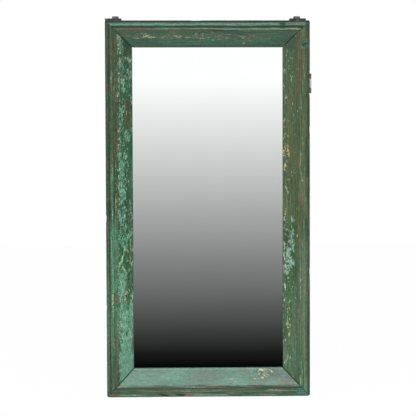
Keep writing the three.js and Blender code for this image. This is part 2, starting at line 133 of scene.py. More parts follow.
def add(tree, kind, inputs=None, **settings):
    """One node with its settings. An input takes a value, a socket, or a node's first output."""
    made = tree.nodes.new(kind)
    for key, value in settings.items():
        setattr(made, key, value)
    for key, value in (inputs or {}).items():
        if isinstance(value, bpy.types.Node):
            value = value.outputs[0]
        if isinstance(value, bpy.types.NodeSocket):
            tree.links.new(value, made.inputs[key])
        else:
            made.inputs[key].default_value = value
    return made


def blank_material(name):
    """A material with an empty node tree."""
    material = bpy.data.materials.new(name)
    material.use_nodes = True
    material.node_tree.nodes.clear()
    return material, material.node_tree


def paint(hex_colour):
    """An sRGB hex colour as the linear RGBA that a node takes."""
    channels = [int(hex_colour[i:i + 2], 16) / 255 for i in (1, 3, 5)]
    linear = [c / 12.92 if c <= 0.04045 else ((c + 0.055) / 1.055) ** 2.4 for c in channels]
    return (*linear, 1.0)


def smooth(x, low, high):
    """0 below low, 1 above high, and an eased slope between."""
    t = np.clip((x - low) / (high - low), 0, 1)
    return t * t * (3 - 2 * t)


def noise(x, y, seed):
    """Smooth seeded noise from 0 to 1 over a square grid of side 1."""
    x, y = np.broadcast_arrays(np.asarray(x, float), np.asarray(y, float))
    column, row = np.floor(x).astype(np.int64), np.floor(y).astype(np.int64)
    fx, fy = x - column, y - row
    fx, fy = fx * fx * (3 - 2 * fx), fy * fy * (3 - 2 * fy)

    def corner(i, j):
        n = (i * 374761393 + j * 668265263 + seed * 974634777) & 0xFFFFFFFF
        n = ((n ^ (n >> 13)) * 1274126177) & 0xFFFFFFFF
        return ((n ^ (n >> 16)) & 0xFFFF) / 65535

    near = corner(column, row) * (1 - fx) + corner(column + 1, row) * fx
    far = corner(column, row + 1) * (1 - fx) + corner(column + 1, row + 1) * fx
    return near * (1 - fy) + far * fy


def points_of(mesh, what="co"):
    """A mesh's vertices as an array, or their normals."""
    found = np.zeros(len(mesh.vertices) * 3)
    mesh.vertices.foreach_get(what, found)
    return found.reshape(-1, 3)


def put_points(mesh, points):
    mesh.vertices.foreach_set("co", np.ascontiguousarray(points, np.float32).ravel())
    mesh.update()


def store(mesh, name, values):
    """Keep a value for each vertex, for the mesh's material to read."""
    layer = mesh.attributes.new(name, "FLOAT", "POINT")
    layer.data.foreach_set("value", values.astype(np.float32))


def new_object(name, content):
    """An object that holds a mesh, a lamp or a camera."""
    made = bpy.data.objects.new(name, content)
    bpy.context.scene.collection.objects.link(made)
    return made


def baked(subject, name):
    """The evaluated object as a plain mesh."""
    view = bpy.context.evaluated_depsgraph_get()
    mesh = bpy.data.meshes.new_from_object(subject.evaluated_get(view))
    mesh.name = name
    return mesh


def dismiss(subject):
    mesh = subject.data
    bpy.data.objects.remove(subject)
    bpy.data.meshes.remove(mesh)


def rework(mesh, work):
    """Put a mesh through one step of bmesh work."""
    shape = bmesh.new()
    shape.from_mesh(mesh)
    work(shape)
    shape.to_mesh(mesh)
    shape.free()


def join_up(shape):
    bmesh.ops.remove_doubles(shape, verts=shape.verts, dist=1e-6)


def turn_outwards(shape):
    """Merge a closed shape's doubles, then turn it so that its faces point out."""
    bmesh.ops.remove_doubles(shape, verts=shape.verts, dist=1e-7)
    bmesh.ops.recalc_face_normals(shape, faces=shape.faces)
    if shape.calc_volume(signed=True) < 0:
        bmesh.ops.reverse_faces(shape, faces=shape.faces)


def make_flats_whole(shape):
    bmesh.ops.dissolve_limit(shape, angle_limit=math.radians(1.0), verts=shape.verts,
                             edges=shape.edges)


def merged_copy(node):
    """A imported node's mesh with its loose triangles joined up."""
    mesh = frame["nodes"][node].data.copy()
    rework(mesh, join_up)
    return mesh


def cut_away(mesh, tool, name):
    """One closed mesh less another."""
    subject = new_object("cut_subject", mesh)
    cutter = new_object("cut_tool", tool)
    knife = subject.modifiers.new("cut", "BOOLEAN")
    knife.operation = "DIFFERENCE"
    knife.solver = "MANIFOLD"
    knife.object = cutter
    left = baked(subject, name)
    dismiss(subject)
    dismiss(cutter)
    return left


def finish_faces(mesh, material, crease_degrees):
    """Smooth shading with crisp edges, and one material."""
    mesh.materials.clear()
    mesh.materials.append(material)
    mesh.polygons.foreach_set("material_index", np.zeros(len(mesh.polygons), np.int32))
    mesh.shade_smooth()
    mesh.set_sharp_from_angle(angle=math.radians(crease_degrees))


# ------------------------------------------------------------------ camera and studio, in metres

# The camera that fits the photograph: its turns are in degrees.
CAMERA_AT = (-0.0649, -3.0, 0.5978)
CAMERA_PITCH, CAMERA_YAW, CAMERA_ROLL = 1.945, 1.24, -0.196
FOCAL_PIXELS = 1141.7
PHOTO_PIXELS = 416
SENSOR_MM = 36

# Each lamp's place, what it points at, its side and its watts.
LAMPS = {
    "lamp_above": ((0.7, -4.4, 5.0), (0, 0, 0.5), 3.4, 250),
    "lamp_left": ((-2.4, -1.6, 0.9), (0, 0, 0.4), 1.2, 10),
}
SOFT_LIGHT_LEVEL = 0.6

FLOOR_REACH = 6.0
FLOOR_DROP = 0.0006
FLOOR_GLOW = 0.97

CARD_Y = -0.05
CARD_HALF_WIDTH = 1.2
CARD_FOOT, CARD_TOP = 0.001, 1.0
CARD_GLOW = 1.06
CARD_GREYS = ((0.064, "#040404"), (0.105, "#1b1b1b"), (0.156, "#393939"), (0.22, "#565656"),
              (0.35, "#828282"), (0.48, "#a8a8a8"), (0.675, "#dadada"), (0.84, "#ffffff"))


def aim_camera():
    lens = bpy.data.cameras.new("camera")
    lens.sensor_width = SENSOR_MM
    lens.lens = FOCAL_PIXELS / PHOTO_PIXELS * SENSOR_MM
    eye = new_object("camera", lens)
    roll = Matrix.Rotation(math.radians(CAMERA_ROLL), 3, "Y")
    pitch = Matrix.Rotation(math.radians(CAMERA_PITCH), 3, "X")
    yaw = Matrix.Rotation(math.radians(CAMERA_YAW), 3, "Z")
    upright = Matrix.Rotation(math.radians(90), 3, "X")
    turn = (roll @ pitch @ yaw).transposed() @ upright
    eye.matrix_world = Matrix.Translation(CAMERA_AT) @ turn.to_4x4()
    bpy.context.scene.camera = eye


def seen_directly(tree):
    """1 for camera, glossy and transmission rays, 0 for the rays that carry soft light."""
    ray = add(tree, "ShaderNodeLightPath").outputs
    either = add(tree, "ShaderNodeMath", {0: ray["Is Camera Ray"], 1: ray["Is Glossy Ray"]},
                 operation="MAXIMUM")
    return add(tree, "ShaderNodeMath", {0: either, 1: ray["Is Transmission Ray"]},
               operation="MAXIMUM")


def whiten_surroundings():
    """A white world that sheds only a part of its light on the object."""
    world = bpy.data.worlds.new("studio")
    world.use_nodes = True
    tree = world.node_tree
    tree.nodes.clear()
    strength = add(tree, "ShaderNodeMix",
                   {"Factor": seen_directly(tree), "A": SOFT_LIGHT_LEVEL, "B": 1.0},
                   data_type="FLOAT")
    white = add(tree, "ShaderNodeBackground", {"Color": paint("#ffffff"), "Strength": strength})
    add(tree, "ShaderNodeOutputWorld", {"Surface": white})
    bpy.context.scene.world = world


def hang_lamps():
    """A broad lamp above the front and a weak one at the side."""
    for name, (place, target, side, watts) in LAMPS.items():
        lamp = bpy.data.lights.new(name, "AREA")
        lamp.shape = "SQUARE"
        lamp.size = side
        lamp.energy = watts
        stand = new_object(name, lamp)
        stand.location = place
        aim = Vector(target) - Vector(place)
        stand.rotation_euler = aim.to_track_quat("-Z", "Y").to_euler()


def lay_floor():
    """Pale floor that keeps a soft shadow but meets the white surroundings unseen."""
    mesh = bpy.data.meshes.new("floor")
    corners = [(x * FLOOR_REACH, y * FLOOR_REACH, -FLOOR_DROP)
               for x, y in ((-1, -1), (1, -1), (1, 1), (-1, 1))]
    mesh.from_pydata(corners, [], [(0, 1, 2, 3)])
    material, tree = blank_material("pale floor")
    matt = add(tree, "ShaderNodeBsdfDiffuse", {"Color": paint("#f4f4f2")})
    glow = add(tree, "ShaderNodeEmission", {"Color": paint("#ffffff"), "Strength": 1.0})
    share = add(tree, "ShaderNodeMath", {0: seen_directly(tree), 1: FLOOR_GLOW},
                operation="MULTIPLY")
    both = add(tree, "ShaderNodeMixShader", {0: share, 1: matt, 2: glow})
    add(tree, "ShaderNodeOutputMaterial", {"Surface": both})
    mesh.materials.append(material)
    new_object("floor", mesh)


def stand_graded_card():
    """A studio card that fades from white to black. Only glossy rays see it, so it shows in the
    mirror and, faintly, in other glossy faces."""
    mesh = bpy.data.meshes.new("graded_card")
    mesh.from_pydata([(-CARD_HALF_WIDTH, CARD_Y, CARD_FOOT), (CARD_HALF_WIDTH, CARD_Y, CARD_FOOT),
                      (CARD_HALF_WIDTH, CARD_Y, CARD_TOP), (-CARD_HALF_WIDTH, CARD_Y, CARD_TOP)],
                     [], [(0, 1, 2, 3)])
    material, tree = blank_material("graded card")
    place = add(tree, "ShaderNodeTexCoord").outputs["Object"]
    height = add(tree, "ShaderNodeSeparateXYZ", {0: place}).outputs["Z"]
    ramp = add(tree, "ShaderNodeValToRGB", {0: height})
    # A new ramp has two stops.
    for _ in CARD_GREYS[2:]:
        ramp.color_ramp.elements.new(0.5)
    for stop, (z, grey) in zip(ramp.color_ramp.elements, CARD_GREYS):
        stop.position = z
        stop.color = paint(grey)
    glow = add(tree, "ShaderNodeEmission", {"Color": ramp, "Strength": CARD_GLOW})
    add(tree, "ShaderNodeOutputMaterial", {"Surface": glow})
    mesh.materials.append(material)
    card = new_object("graded_card", mesh)
    for ray in ("camera", "diffuse", "transmission", "volume_scatter", "shadow"):
        setattr(card, "visible_" + ray, False)


# ------------------------------------------------------------------ where the coats have gone

# Old paint wears by coats. For each member and coat there is a level along the section, as
# (mm across from the outer edge, level), and worn patches, as
# (across, along, half its width, half its length, level), in mm. Along is the height on a
# stile and the place from the middle on a rail. Levels are 0, none, to 1, all of it, and a
# patch with a level under 0 clears that coat away. "chalk" is a chalky veil over the coats,
# "sound" is paint that hasn't crazed, and "dark", in its levels and patches, is dirt with
# painted shade in the grooves, at the mitres, on the outer edge, under the top rail's wide bead
# and on the sight edge at the glass. A coat that isn't listed is nowhere, apart from its patches.

COATS = ("pale", "olive", "bare", "cream", "dark", "chalk", "sound")
EVEN_COATS = ("dark", "sound")
NO_COAT = ((0, 0),)

LEFT_LEVELS = {
    "pale": ((0, .1), (3, .08), (6, .08), (8, .03), (12, .06), (15, .12), (19, .14), (21, .08),
             (24, .08), (30, .16), (33, .42), (48, .45), (56, .33), (70, .3)),
    "olive": ((0, .2), (6, .5), (9, .55), (13, .3), (15, .2), (20, .25), (23, .6), (29, .6),
              (31.5, .2), (34, .05), (50, .15), (58, .3), (66, .3), (70, .3)),
    "bare": ((0, 0), (8.6, .05), (9.6, .25), (10.6, .05), (22, .08), (29.6, .1), (30.6, .4),
             (31.8, .4), (32.8, 0), (67, 0), (69, .3), (70, .35)),
    "cream": ((0, 0), (14, .06), (20, .1), (31, .1), (33, .26), (44, .24), (60, .12), (70, .05)),
    "dark": ((0, .35), (3, .2), (5.5, .1), (7.6, .25), (9, .6), (10.4, .6), (11.6, .25), (13.5, .0),
             (19, 0), (21, .35), (22.6, .4), (24, .2), (29, .1), (30, 0), (68, 0), (70, .2)),
    "sound": ((0, .6), (28, .6), (33, 0), (56, 0), (68, .3), (70, .3)),
}
LEFT_PATCHES = {
    "pale": ((38, 930, 3.5, 28, .75), (45, 845, 12, 40, .52), (60, 838, 4.5, 30, .6),
             (18, 828, 3, 42, .6), (43, 757, 10, 14, .85), (38, 700, 5, 48, .62),
             (58, 684, 7, 20, .7), (17.5, 573, 2.5, 22, .8), (43, 600, 13, 50, .68),
             (41, 530, 12, 40, .57), (44, 480, 12, 40, .68), (17, 470, 2, 66, .66),
             (26, 470, 2.4, 60, .45), (43, 430, 11, 44, .76), (64, 430, 4.5, 24, .6),
             (42, 296, 11, 46, .98), (20, 290, 7, 26, .66), (20, 412, 10, 62, .72),
             (52, 172, 17, 52, .95), (64, 215, 6, 56, .92), (36, 288, 6, 26, .9),
             (51.5, 82, 18.5, 66, 1.0), (44, 42, 11, 40, 1.0), (5, 250, 5, 80, .34),
             (22, 310, 10, 44, .45), (28, 210, 4, 60, .4), (23, 806, 3, 20, .4),
             (58, 928, 13, 24, -1.0), (63, 600, 7, 70, -.6), (25, 545, 6, 40, -.8),
             (58, 745, 10, 40, -.8), (24, 60, 8.5, 60, -.8), (53, 366, 8, 28, -.7),
             (52, 255, 10, 28, -.5), (17, 690, 6, 45, -.9), (64, 385, 5, 28, -.5),
             (18, 612, 7, 20, -.7), (46, 785, 8, 28, -.5), (20, 380, 7, 15, -.35)),
    "olive": ((58, 748, 10, 44, .75), (63, 890, 6, 24, .5), (52, 915, 7, 60, .5),
              (15, 920, 6, 60, .68),
              (60, 372, 6, 30, .6), (55, 285, 4, 34, .6), (59, 245, 5, 16, .4), (54, 472, 3, 32, .5),
              (15, 45, 15, 42, .6), (28, 492, 2, 48, .7), (17, 610, 5, 24, .7), (63, 600, 8, 70, -.9),
              (16, 330, 17, 130, -.7), (8, 200, 9, 110, -.7), (58, 928, 14, 26, -.9)),
    "bare": ((5, 500, 3.5, 190, .32), (7, 190, 5, 150, .22), (31.2, 686, 2.2, 36, 1.0),
             (28.4, 672, 3, 20, .6), (26, 740, 3, 60, .45), (56.5, 485, 1.6, 40, .75),
             (50, 290, 1.2, 46, .6), (12.5, 180, 2, 90, .4), (27.5, 100, 1.8, 44, .7),
             (17, 180, 4, 60, .32), (20, 60, 8, 40, .4), (69, 190, 1.4, 58, 1.0),
             (28, 905, 6, 70, -.8)),
    "cream": ((38, 925, 6, 30, .95), (40, 880, 7, 12, .7), (27, 797, 6, 30, .55),
              (50, 820, 16, 40, .35), (26.5, 530, 3, 60, .6), (16.6, 470, 1.6, 60, .45),
              (18, 250, 5, 24, .36), (46, 265, 8, 14, .8), (58, 850, 8, 60, .45), (50, 80, 20, 62, -.8)),
    # The first two dark patches, along the top mitre in the splay's corner, are painted shade.
    "dark": ((60, 924, 11, 24, .7), (40, 955, 12, 6, .6), (25, 545, 4, 40, .6),
             (52, 595, 3.4, 20, .8),
             (22, 500, 2.2, 52, .75), (22, 610, 9, 22, .25), (52, 167, 2.4, 7, .85), (50, 890, 5, 60, .35),
             (60, 760, 5, 40, .3), (20, 55, 14, 34, .3)),
    "chalk": ((52, 80, 19, 66, .7), (44, 190, 14, 84, .45), (64, 200, 6, 70, .5),
              (14, 150, 22, 190, .25), (44, 300, 10, 40, .54), (18, 520, 5, 120, .2),
              (20, 390, 11, 92, .32)),
    "sound": ((51, 80, 20, 66, .9), (63, 600, 8, 70, .8), (60, 745, 8, 40, .7)),
}
RIGHT_LEVELS = {
    "pale": ((0, .35), (3, .06), (8, .07), (13, .08), (19, .07), (24, .06), (33, .03), (46, .08),
             (60, .14), (68, .15), (70, .3)),
    "olive": ((0, .1), (7, .2), (9, .55), (14, .65), (18, .6), (24, .5), (28, .5), (33, .5),
              (45, .5), (60, .4), (70, .35)),
    "bare": ((0, .2), (3, .1), (5, 0), (12, .12), (14, .12), (18, .03), (25, .1), (27.5, .35),
             (30, .4), (31.5, .05), (34, 0), (68, 0), (70, .2)),
    "cream": ((0, 0), (20, .12), (34, .04), (50, .1), (60, .2), (70, .15)),
    "dark": ((0, .85), (3.5, .7), (7.2, .54), (9, .2), (11, 0), (21, .05), (22, .15), (23, .05),
             (29.6, .1), (31, .25), (34, .2), (40, .1), (50, 0), (68, 0), (70, .25)),
    "chalk": ((0, 0), (8, .05), (14, .06), (20, .03), (34, 0), (70, 0)),
    "sound": ((0, .9), (70, .9)),
}
RIGHT_PATCHES = {
    "pale": ((51.5, 897, 2.5, 20, .3), (48, 415, 8, 46, .56), (54, 368, 13, 44, .68),
             (62, 345, 8, 46, .5), (60, 305, 8, 26, .4), (23, 62, 3, 50, .4),
             (0.6, 330, 2.6, 270, .95), (47, 464, 2.2, 9, .5),
             (22.5, 575, 2.4, 14, .7), (16, 450, 3, 20, .4), (25, 35, 3, 18, .45),
             (25, 306, 2.5, 5, .6), (18, 955, 6, 14, .4), (60, 110, 8, 40, .3),
             (61, 215, 8, 70, .3), (9, 38, 8, 34, .5), (46, 585, 22, 56, -.8),
             (56, 550, 8, 6, .25), (64, 380, 5, 20, .6)),
    "olive": ((33, 780, 14, 160, .5), (40, 560, 14, 90, .55), (53, 392, 17, 66, -1.0),
              (48, 190, 26, 150, -.75), (10, 40, 14, 60, -.9), (18, 460, 5, 34, -.9),
              (17, 908, 6, 18, -.8)),
    "bare": ((29, 890, 1.8, 50, .8), (28.6, 815, 1.4, 30, .75), (28, 700, 1.6, 60, .45),
             (15.5, 880, 2.4, 12, .7), (2.6, 915, 2.6, 50, .75), (27, 570, 2.4, 70, .45),
             (28.5, 395, 3, 60, .72), (28.5, 505, 3, 34, .62), (28.5, 222, 3, 40, .65),
             (12, 300, 1.4, 70, .5), (9.5, 560, 2, 80, .35), (17, 435, 2.5, 14, .5),
             (36, 180, 8, 60, .38), (15, 90, 2.5, 80, .35)),
    "cream": ((61, 641, 8, 27, .9), (64, 605, 3, 8, .9), (63, 488, 2.4, 14, .95),
              (64, 700, 4, 20, .4), (54, 398, 12, 60, .42),
              (55, 205, 6, 44, .6), (54, 110, 6, 40, .4), (22, 575, 3.5, 16, .4)),
    # The dark patches at (36, 940) and (54, 918), in the splay's corner under the top rail, are painted
    # shade.
    "dark": ((54, 117, 9, 20, .35), (53, 392, 13, 56, .35), (50, 580, 14, 40, .2),
             (18, 468, 4, 30, .35), (20, 860, 6, 30, .2), (36, 940, 9, 18, .35), (54, 918, 14, 14, .4),
             (3, 806, 5, 40, .4), (17, 908, 5, 15, .3), (2.6, 915, 3, 46, -.45)),
    "chalk": ((15, 250, 17, 200, .32), (38, 165, 12, 140, .32), (55, 100, 16, 60, .25),
              (9, 50, 9, 60, .4), (19, 550, 5, 40, .2)),
    "sound": ((53, 392, 16, 66, -1.0), (48, 640, 20, 40, -.5), (52, 180, 14, 110, -.6)),
}
TOP_LEVELS = {
    # The pale coat on the first 1.6 mm of the top edge is a painted highlight on its lit round.
    "pale": ((0, .4), (1.6, .3), (2.6, 0), (5.8, .05), (6.6, .4), (7.8, .88), (12.2, .88),
             (13.6, .5), (14.8, .15), (15.8, 0), (18.8, 0), (20, .62), (23.2, .52), (24.6, .2),
             (30, .08), (46, .12), (68, .04)),
    "olive": ((0, .1), (13, .15), (19, .3), (22, .35), (25, .6), (29, .55), (31, .2), (50, .1),
              (68, .15)),
    "bare": ((0, .0), (13.5, .1), (17, .3), (19, .45), (20.2, .1), (24.5, .15), (26, .5),
             (28, .45), (29.5, .0), (68, .0)),
    "cream": ((0, 0), (20, .25), (24, .3), (30, .15), (34, .3), (46, .35), (52, .05), (68, 0)),
    # The dark coat under the wide bead, 14.4 to 19.4 mm, is painted shade, and on the top edge, 2.4 to 6
    # mm, painted shade with dirt.
    "dark": ((0, 0), (1.4, .05), (2.4, .8), (3.2, 1), (4.8, 1), (6, .6), (7.4, .15), (8, 0),
             (12.8, 0), (14.4, .4), (15.6, .9), (18, .9), (19.4, .4), (20.6, 0), (22.8, 0),
             (23.6, .2), (25, 0), (28.4, .15), (29.6, .4), (31.4, .35), (34, .1), (40, 0),
             (62, .05), (65, .4), (68, .7)),
    "sound": ((0, .7), (68, .6)),
}
TOP_PATCHES = {
    "pale": ((9, -200, 5, 50, .95), (9, 240, 6, 16, .9), (22, 228, 2.6, 18, .9), (22.6, 48, 2.6, 54, .9),
             (43, 92, 7, 10, .6), (23.5, 197, 2, 9, .9), (44, 12, 9, 24, .3),
             (12, 197, 7, 8, -1.0), (22, -195, 3, 56, -.6), (13, 110, 1.6, 150, -.6),
             (4, 90, 3, 130, .15), (10.5, 46, 3, 18, -.3)),
    "olive": ((27, -80, 3, 120, .6), (36, -215, 6, 24, .6)),
    "bare": ((17.5, -195, 2, 50, .95), (27, 200, 3, 50, -.9), (27.6, 40, 2.4, 46, .95),
             (27, -200, 1.8, 50, .5)),
    "cream": ((40, -160, 9, 34, .9), (40, -85, 9, 40, .7), (41, -20, 8, 34, .5),
              (42, 40, 8, 18, .48), (45, 110, 9, 34, .45), (42, 159, 1.6, 9, 1.0),
              (22, 225, 2.6, 20, .8), (56, 92, 3, 10, .7), (45, 205, 20, 30, -.9)),
    "dark": ((27.5, 200, 1.6, 44, .5), (14, 197, 8, 8, .55), (43, 92, 8, 12, .5),
             (44, 100, 12, 22, .25), (47, 210, 7, 20, .22), (17.5, -190, 3, 50, -.4),
             (5, 244, 3, 16, -.4)),
    "chalk": ((22.2, 222, 2.4, 17, .42),),
}
BOTTOM_LEVELS = {
    "pale": ((0, .1), (2.4, .12), (4, .42), (6, .42), (7.4, .1), (9, .12), (14, .14), (19, .06),
             (22, .2), (25, .22), (27.4, .5), (31, .88), (40, .92), (66, .95), (73, 1)),
    "olive": ((0, .1), (7, .3), (10, .6), (16, .65), (20, .45), (26, .3), (31, .15), (33, .08),
              (66, .1), (73, 0)),
    "bare": ((0, .1), (2, .1), (6, .05), (10, .2), (14, .2), (18, .05), (27, .1), (28.6, .45),
             (29.8, .45), (30.8, .05), (33, .05), (50, .05), (73, 0)),
    "cream": ((0, 0), (12, .1), (20, .1), (31, .12), (40, .04), (66, .0), (73, .0)),
    "dark": ((0, .75), (2.6, .6), (4, .1), (6, .05), (7.6, .25), (9, .05), (17, .0), (19, .45),
             (21.4, .55), (23, .2), (26, .1), (29, 0), (73, 0)),
    "sound": ((0, .8), (30, .8), (73, .7)),
}
BOTTOM_PATCHES = {
    "pale": ((54, 0, 32, 330, .93), (2.6, -20, 2, 40, .6), (5, 105, 3.2, 170, .62),
             (23, -215, 3, 20, -.8), (5, 14, 3, 14, -.3)),
    "olive": ((52, -222, 12, 24, .3), (45, 205, 12, 26, .3), (19, -201, 10, 14, -1.0),
              (16, 240, 12, 24, -.9)),
    "bare": ((29.3, -135, 1.1, 24, .95), (29.0, -38, 1.4, 45, .95), (29.6, -238, 1.5, 14, .7),
             (40, 215, 8, 30, .25), (44, -230, 9, 24, .25)),
    "cream": ((60, 146, 11, 30, 1.0), (47, 132, 2.6, 14, 1.0), (46, 62, 7, 10, .6)),
    "dark": ((4, -117, 4.5, 13, 1.0), (5.4, -77, 3.4, 13, 1.0), (27.6, 90, 1.4, 120, .6),
             (20, -201, 10, 13, .3), (64, 124, 5, 8, .35), (56, 176, 3, 14, .3),
             (10, -246, 5, 18, .4), (4, 80, 4, 18, -.6)),
    "chalk": ((65, 122, 6, 11, .75), (12, 250, 13, 20, .28), (36, 30, 3, 60, .2)),
    "sound": ((60, 146, 14, 32, -.9),),
}

# Away from the light, on the sides and the back, the paint has worn less.
BEHIND = {"pale": 0.1, "olive": 0.5, "bare": 0.14, "cream": 0.03, "dark": 0.15, "chalk": 0.05,
          "sound": 0.8}

# A brightness factor for each member, across it in mm from the outer edge and along it. Across,
# it holds painted light and shade: the top rail's outer edge and the wide bead's lower slope are
# shaded and the bead's upper slope lit, and the bottom rail's lip at the glass and the right
# stile's outer edge are lit. Along, the stiles grow darker towards the top and the bottom rail
# towards its ends.
LEFT_SHADE = (((0, 1), (12, 1.02), (30, 1.06), (33, .98), (50, .95), (60, .95), (70, 1.05)),
              ((0, 1.02), (90, 1.0), (160, 1.14), (330, 1.18), (430, 1.1), (500, .97), (600, .92),
               (700, .86), (985, .7)))
RIGHT_SHADE = (((0, 1.25), (2.6, 1.15), (3.6, .95), (8, .97), (12, 1.05), (30, 1.05), (33, .98),
                (45, 1), (70, 1.03)),
               ((0, 1.12), (120, 1.18), (330, 1.18), (500, 1.08), (760, .9), (985, .8)))
TOP_SHADE = (((0, .75), (1.4, .6), (2.4, .42), (4.8, .45), (6.6, .95), (9, 1.3), (12.4, 1.2),
              (14.4, .95), (19, .8), (20.6, 1.0), (24, 1.0), (26, 1.08), (68, 1.06)),
             ((-267, 1), (267, 1)))
BOTTOM_SHADE = (((0, .9), (3, 1.05), (9, 1.08), (12, 1.15), (16, 1.08), (22, 1.04), (30, .98),
                 (64, .96), (68, .88), (69.4, 1.2), (72, 1.25), (73, 1.0)),
                ((-267, .95), (0, 1), (267, .95)))

# Knocks and dents in the wood: (across, along, half its width, half its length, depth), in mm.
LEFT_DENTS = ((29, 700, 3, 30, .7), (29, 520, 3, 18, .8), (0, 470, 3, 9, 1.2), (0, 236, 3, 7, .9),
              (52, 595, 5, 18, .35), (29, 845, 2, 9, .9), (16, 330, 3, 12, .5))
RIGHT_DENTS = ((0, 820, 3.5, 31, 1.5), (29, 882, 3, 32, .7), (29, 815, 3, 24, .8),
               (1, 700, 3, 10, .8), (29, 480, 3, 40, .6), (60, 640, 6, 26, .3), (48, 392, 7, 50, .4),
               (29, 230, 3, 30, .7), (1, 330, 3, 8, .7))
TOP_DENTS = ((16.5, 197, 5.5, 6, 2.0), (29, 28, 2.6, 50, .6), (29, -190, 2.6, 60, .5),
             (40, -160, 9, 26, .25), (1, -30, 3, 14, .7))
BOTTOM_DENTS = ((3, -117, 3, 11, .4), (3, -78, 3, 12, .4), (29, -130, 3, 24, .7),
                (29, -45, 3, 40, .7), (56, 146, 12, 26, .3), (34, -170, 2.4, 5, .8))

# Nail holes in the top rail's splay, as (across, along) in mm.
NAIL_HOLES = ((52.5, 190.5), (54, 193.5), (52, 197), (55, 199.5), (53, 203), (56.5, 206))

# "streaky_splay" is how far the flakes on a splay run along the grain, as those on the beads do.
MEMBERS = {
    "left_stile": dict(levels=LEFT_LEVELS, patches=LEFT_PATCHES, dents=LEFT_DENTS,
                       shade=LEFT_SHADE, streaky_splay=0.0, seed=11),
    "right_stile": dict(levels=RIGHT_LEVELS, patches=RIGHT_PATCHES, dents=RIGHT_DENTS,
                        shade=RIGHT_SHADE, streaky_splay=0.0, seed=23),
    "top_rail": dict(levels=TOP_LEVELS, patches=TOP_PATCHES, dents=TOP_DENTS,
                     shade=TOP_SHADE, streaky_splay=0.2, seed=37),
    "bottom_rail": dict(levels=BOTTOM_LEVELS, patches=BOTTOM_PATCHES, dents=BOTTOM_DENTS,
                        shade=BOTTOM_SHADE, streaky_splay=0.3, seed=53),
}


def patch_shape(across, along, patch):
    """1 at a patch's middle, 0 past its edge."""
    middle, place, half_width, half_length = patch[:4]
    reach = (np.abs((across - middle) / half_width) ** 3
             + np.abs((along - place) / half_length) ** 3) ** (1 / 3)
    return 1 - smooth(reach, 0.5, 1.25)


def mitre_distance(member, across, along):
    """About how far a point lies from the nearer of its member's two mitres, in mm."""
    own = MEMBER_WIDTH[member]
    if "stile" in member:
        first = along - across * BOTTOM_RAIL / own
        second = TOP_Z - along - across * TOP_RAIL / own
    else:
        first = along - LEFT_X - across * STILE / own
        second = RIGHT_X - along - across * STILE / own
    return np.minimum(np.abs(first), np.abs(second)) * math.sqrt(0.5)


def coat_level(member, coat, across, along):
    """How much of one coat shows at each point of a member."""
    made = MEMBERS[member]
    places, levels = zip(*made["levels"].get(coat, NO_COAT))
    seed = made["seed"] + COATS.index(coat)
    level = np.interp(across, places, levels)
    # A noise is as wide and as long, in mm, as across and along are divided by.
    streak = noise(across / 2.2, along / 75, seed)
    drift = noise(across / 14, along / 110, seed + 100)
    sway = (noise(across / 6, along / 16, seed + 200) - 0.5) * 7
    slide = (noise(across / 4, along / 22, seed + 300) - 0.5) * 26
    if coat in EVEN_COATS:
        level = level * (0.85 + 0.3 * streak)
    else:
        level = level * (0.45 + 0.75 * streak + 0.35 * drift)
    for patch in made["patches"].get(coat, ()):
        half_width, half_length, strength = patch[2:]
        shape = patch_shape(across + sway * min(1, half_width / 7),
                            along + slide * min(1, half_length / 30), patch)
        if strength > 0:
            level = np.maximum(level, shape * strength)
        else:
            level = level * (1 + shape * strength)
    gap = mitre_distance(member, across, along)
    # The mitre's opened crease gets the dark coat: dirt with painted shade, strongest on the splay.
    if coat == "dark":
        mitre_dirt_and_shade = (1 - smooth(gap, 0.4, 2.4)) * np.interp(across, (0, 28, 34), (.35, .5, .95))
        level = np.maximum(level, mitre_dirt_and_shade)
    if coat == "pale" and member == "top_rail":
        level = np.maximum(level, (1 - smooth(np.abs(gap - 3.2), 0.3, 1.6)) * 0.3)
    return np.clip(level, 0, 1)


def shade_level(member, across, along):
    """The factor by which each point of a member is lighter, over 1, or darker than its tones: the painted
    light and shade of its tables, times a random cloud.
    """
    over, down = (tuple(zip(*stops)) for stops in MEMBERS[member]["shade"])
    cloud = noise(across / 18, along / 55, MEMBERS[member]["seed"] + 400)
    return np.interp(across, *over) * np.interp(along, *down) * (0.92 + 0.16 * cloud)


# ------------------------------------------------------------------ the moulded members


def bead(start, width, rise):
    """A bead's round, from its foot on the outer side to its foot on the inner."""
    radius = (width * width / 4 + rise * rise) / (2 * rise)
    centre = BEAD_FOOT - rise + radius
    half = math.asin(width / 2 / radius)
    turns = [half * (2 * i / BEAD_STEPS - 1) for i in range(BEAD_STEPS + 1)]
    return [(start + width / 2 + radius * math.sin(t), centre - radius * math.cos(t)) for t in turns]


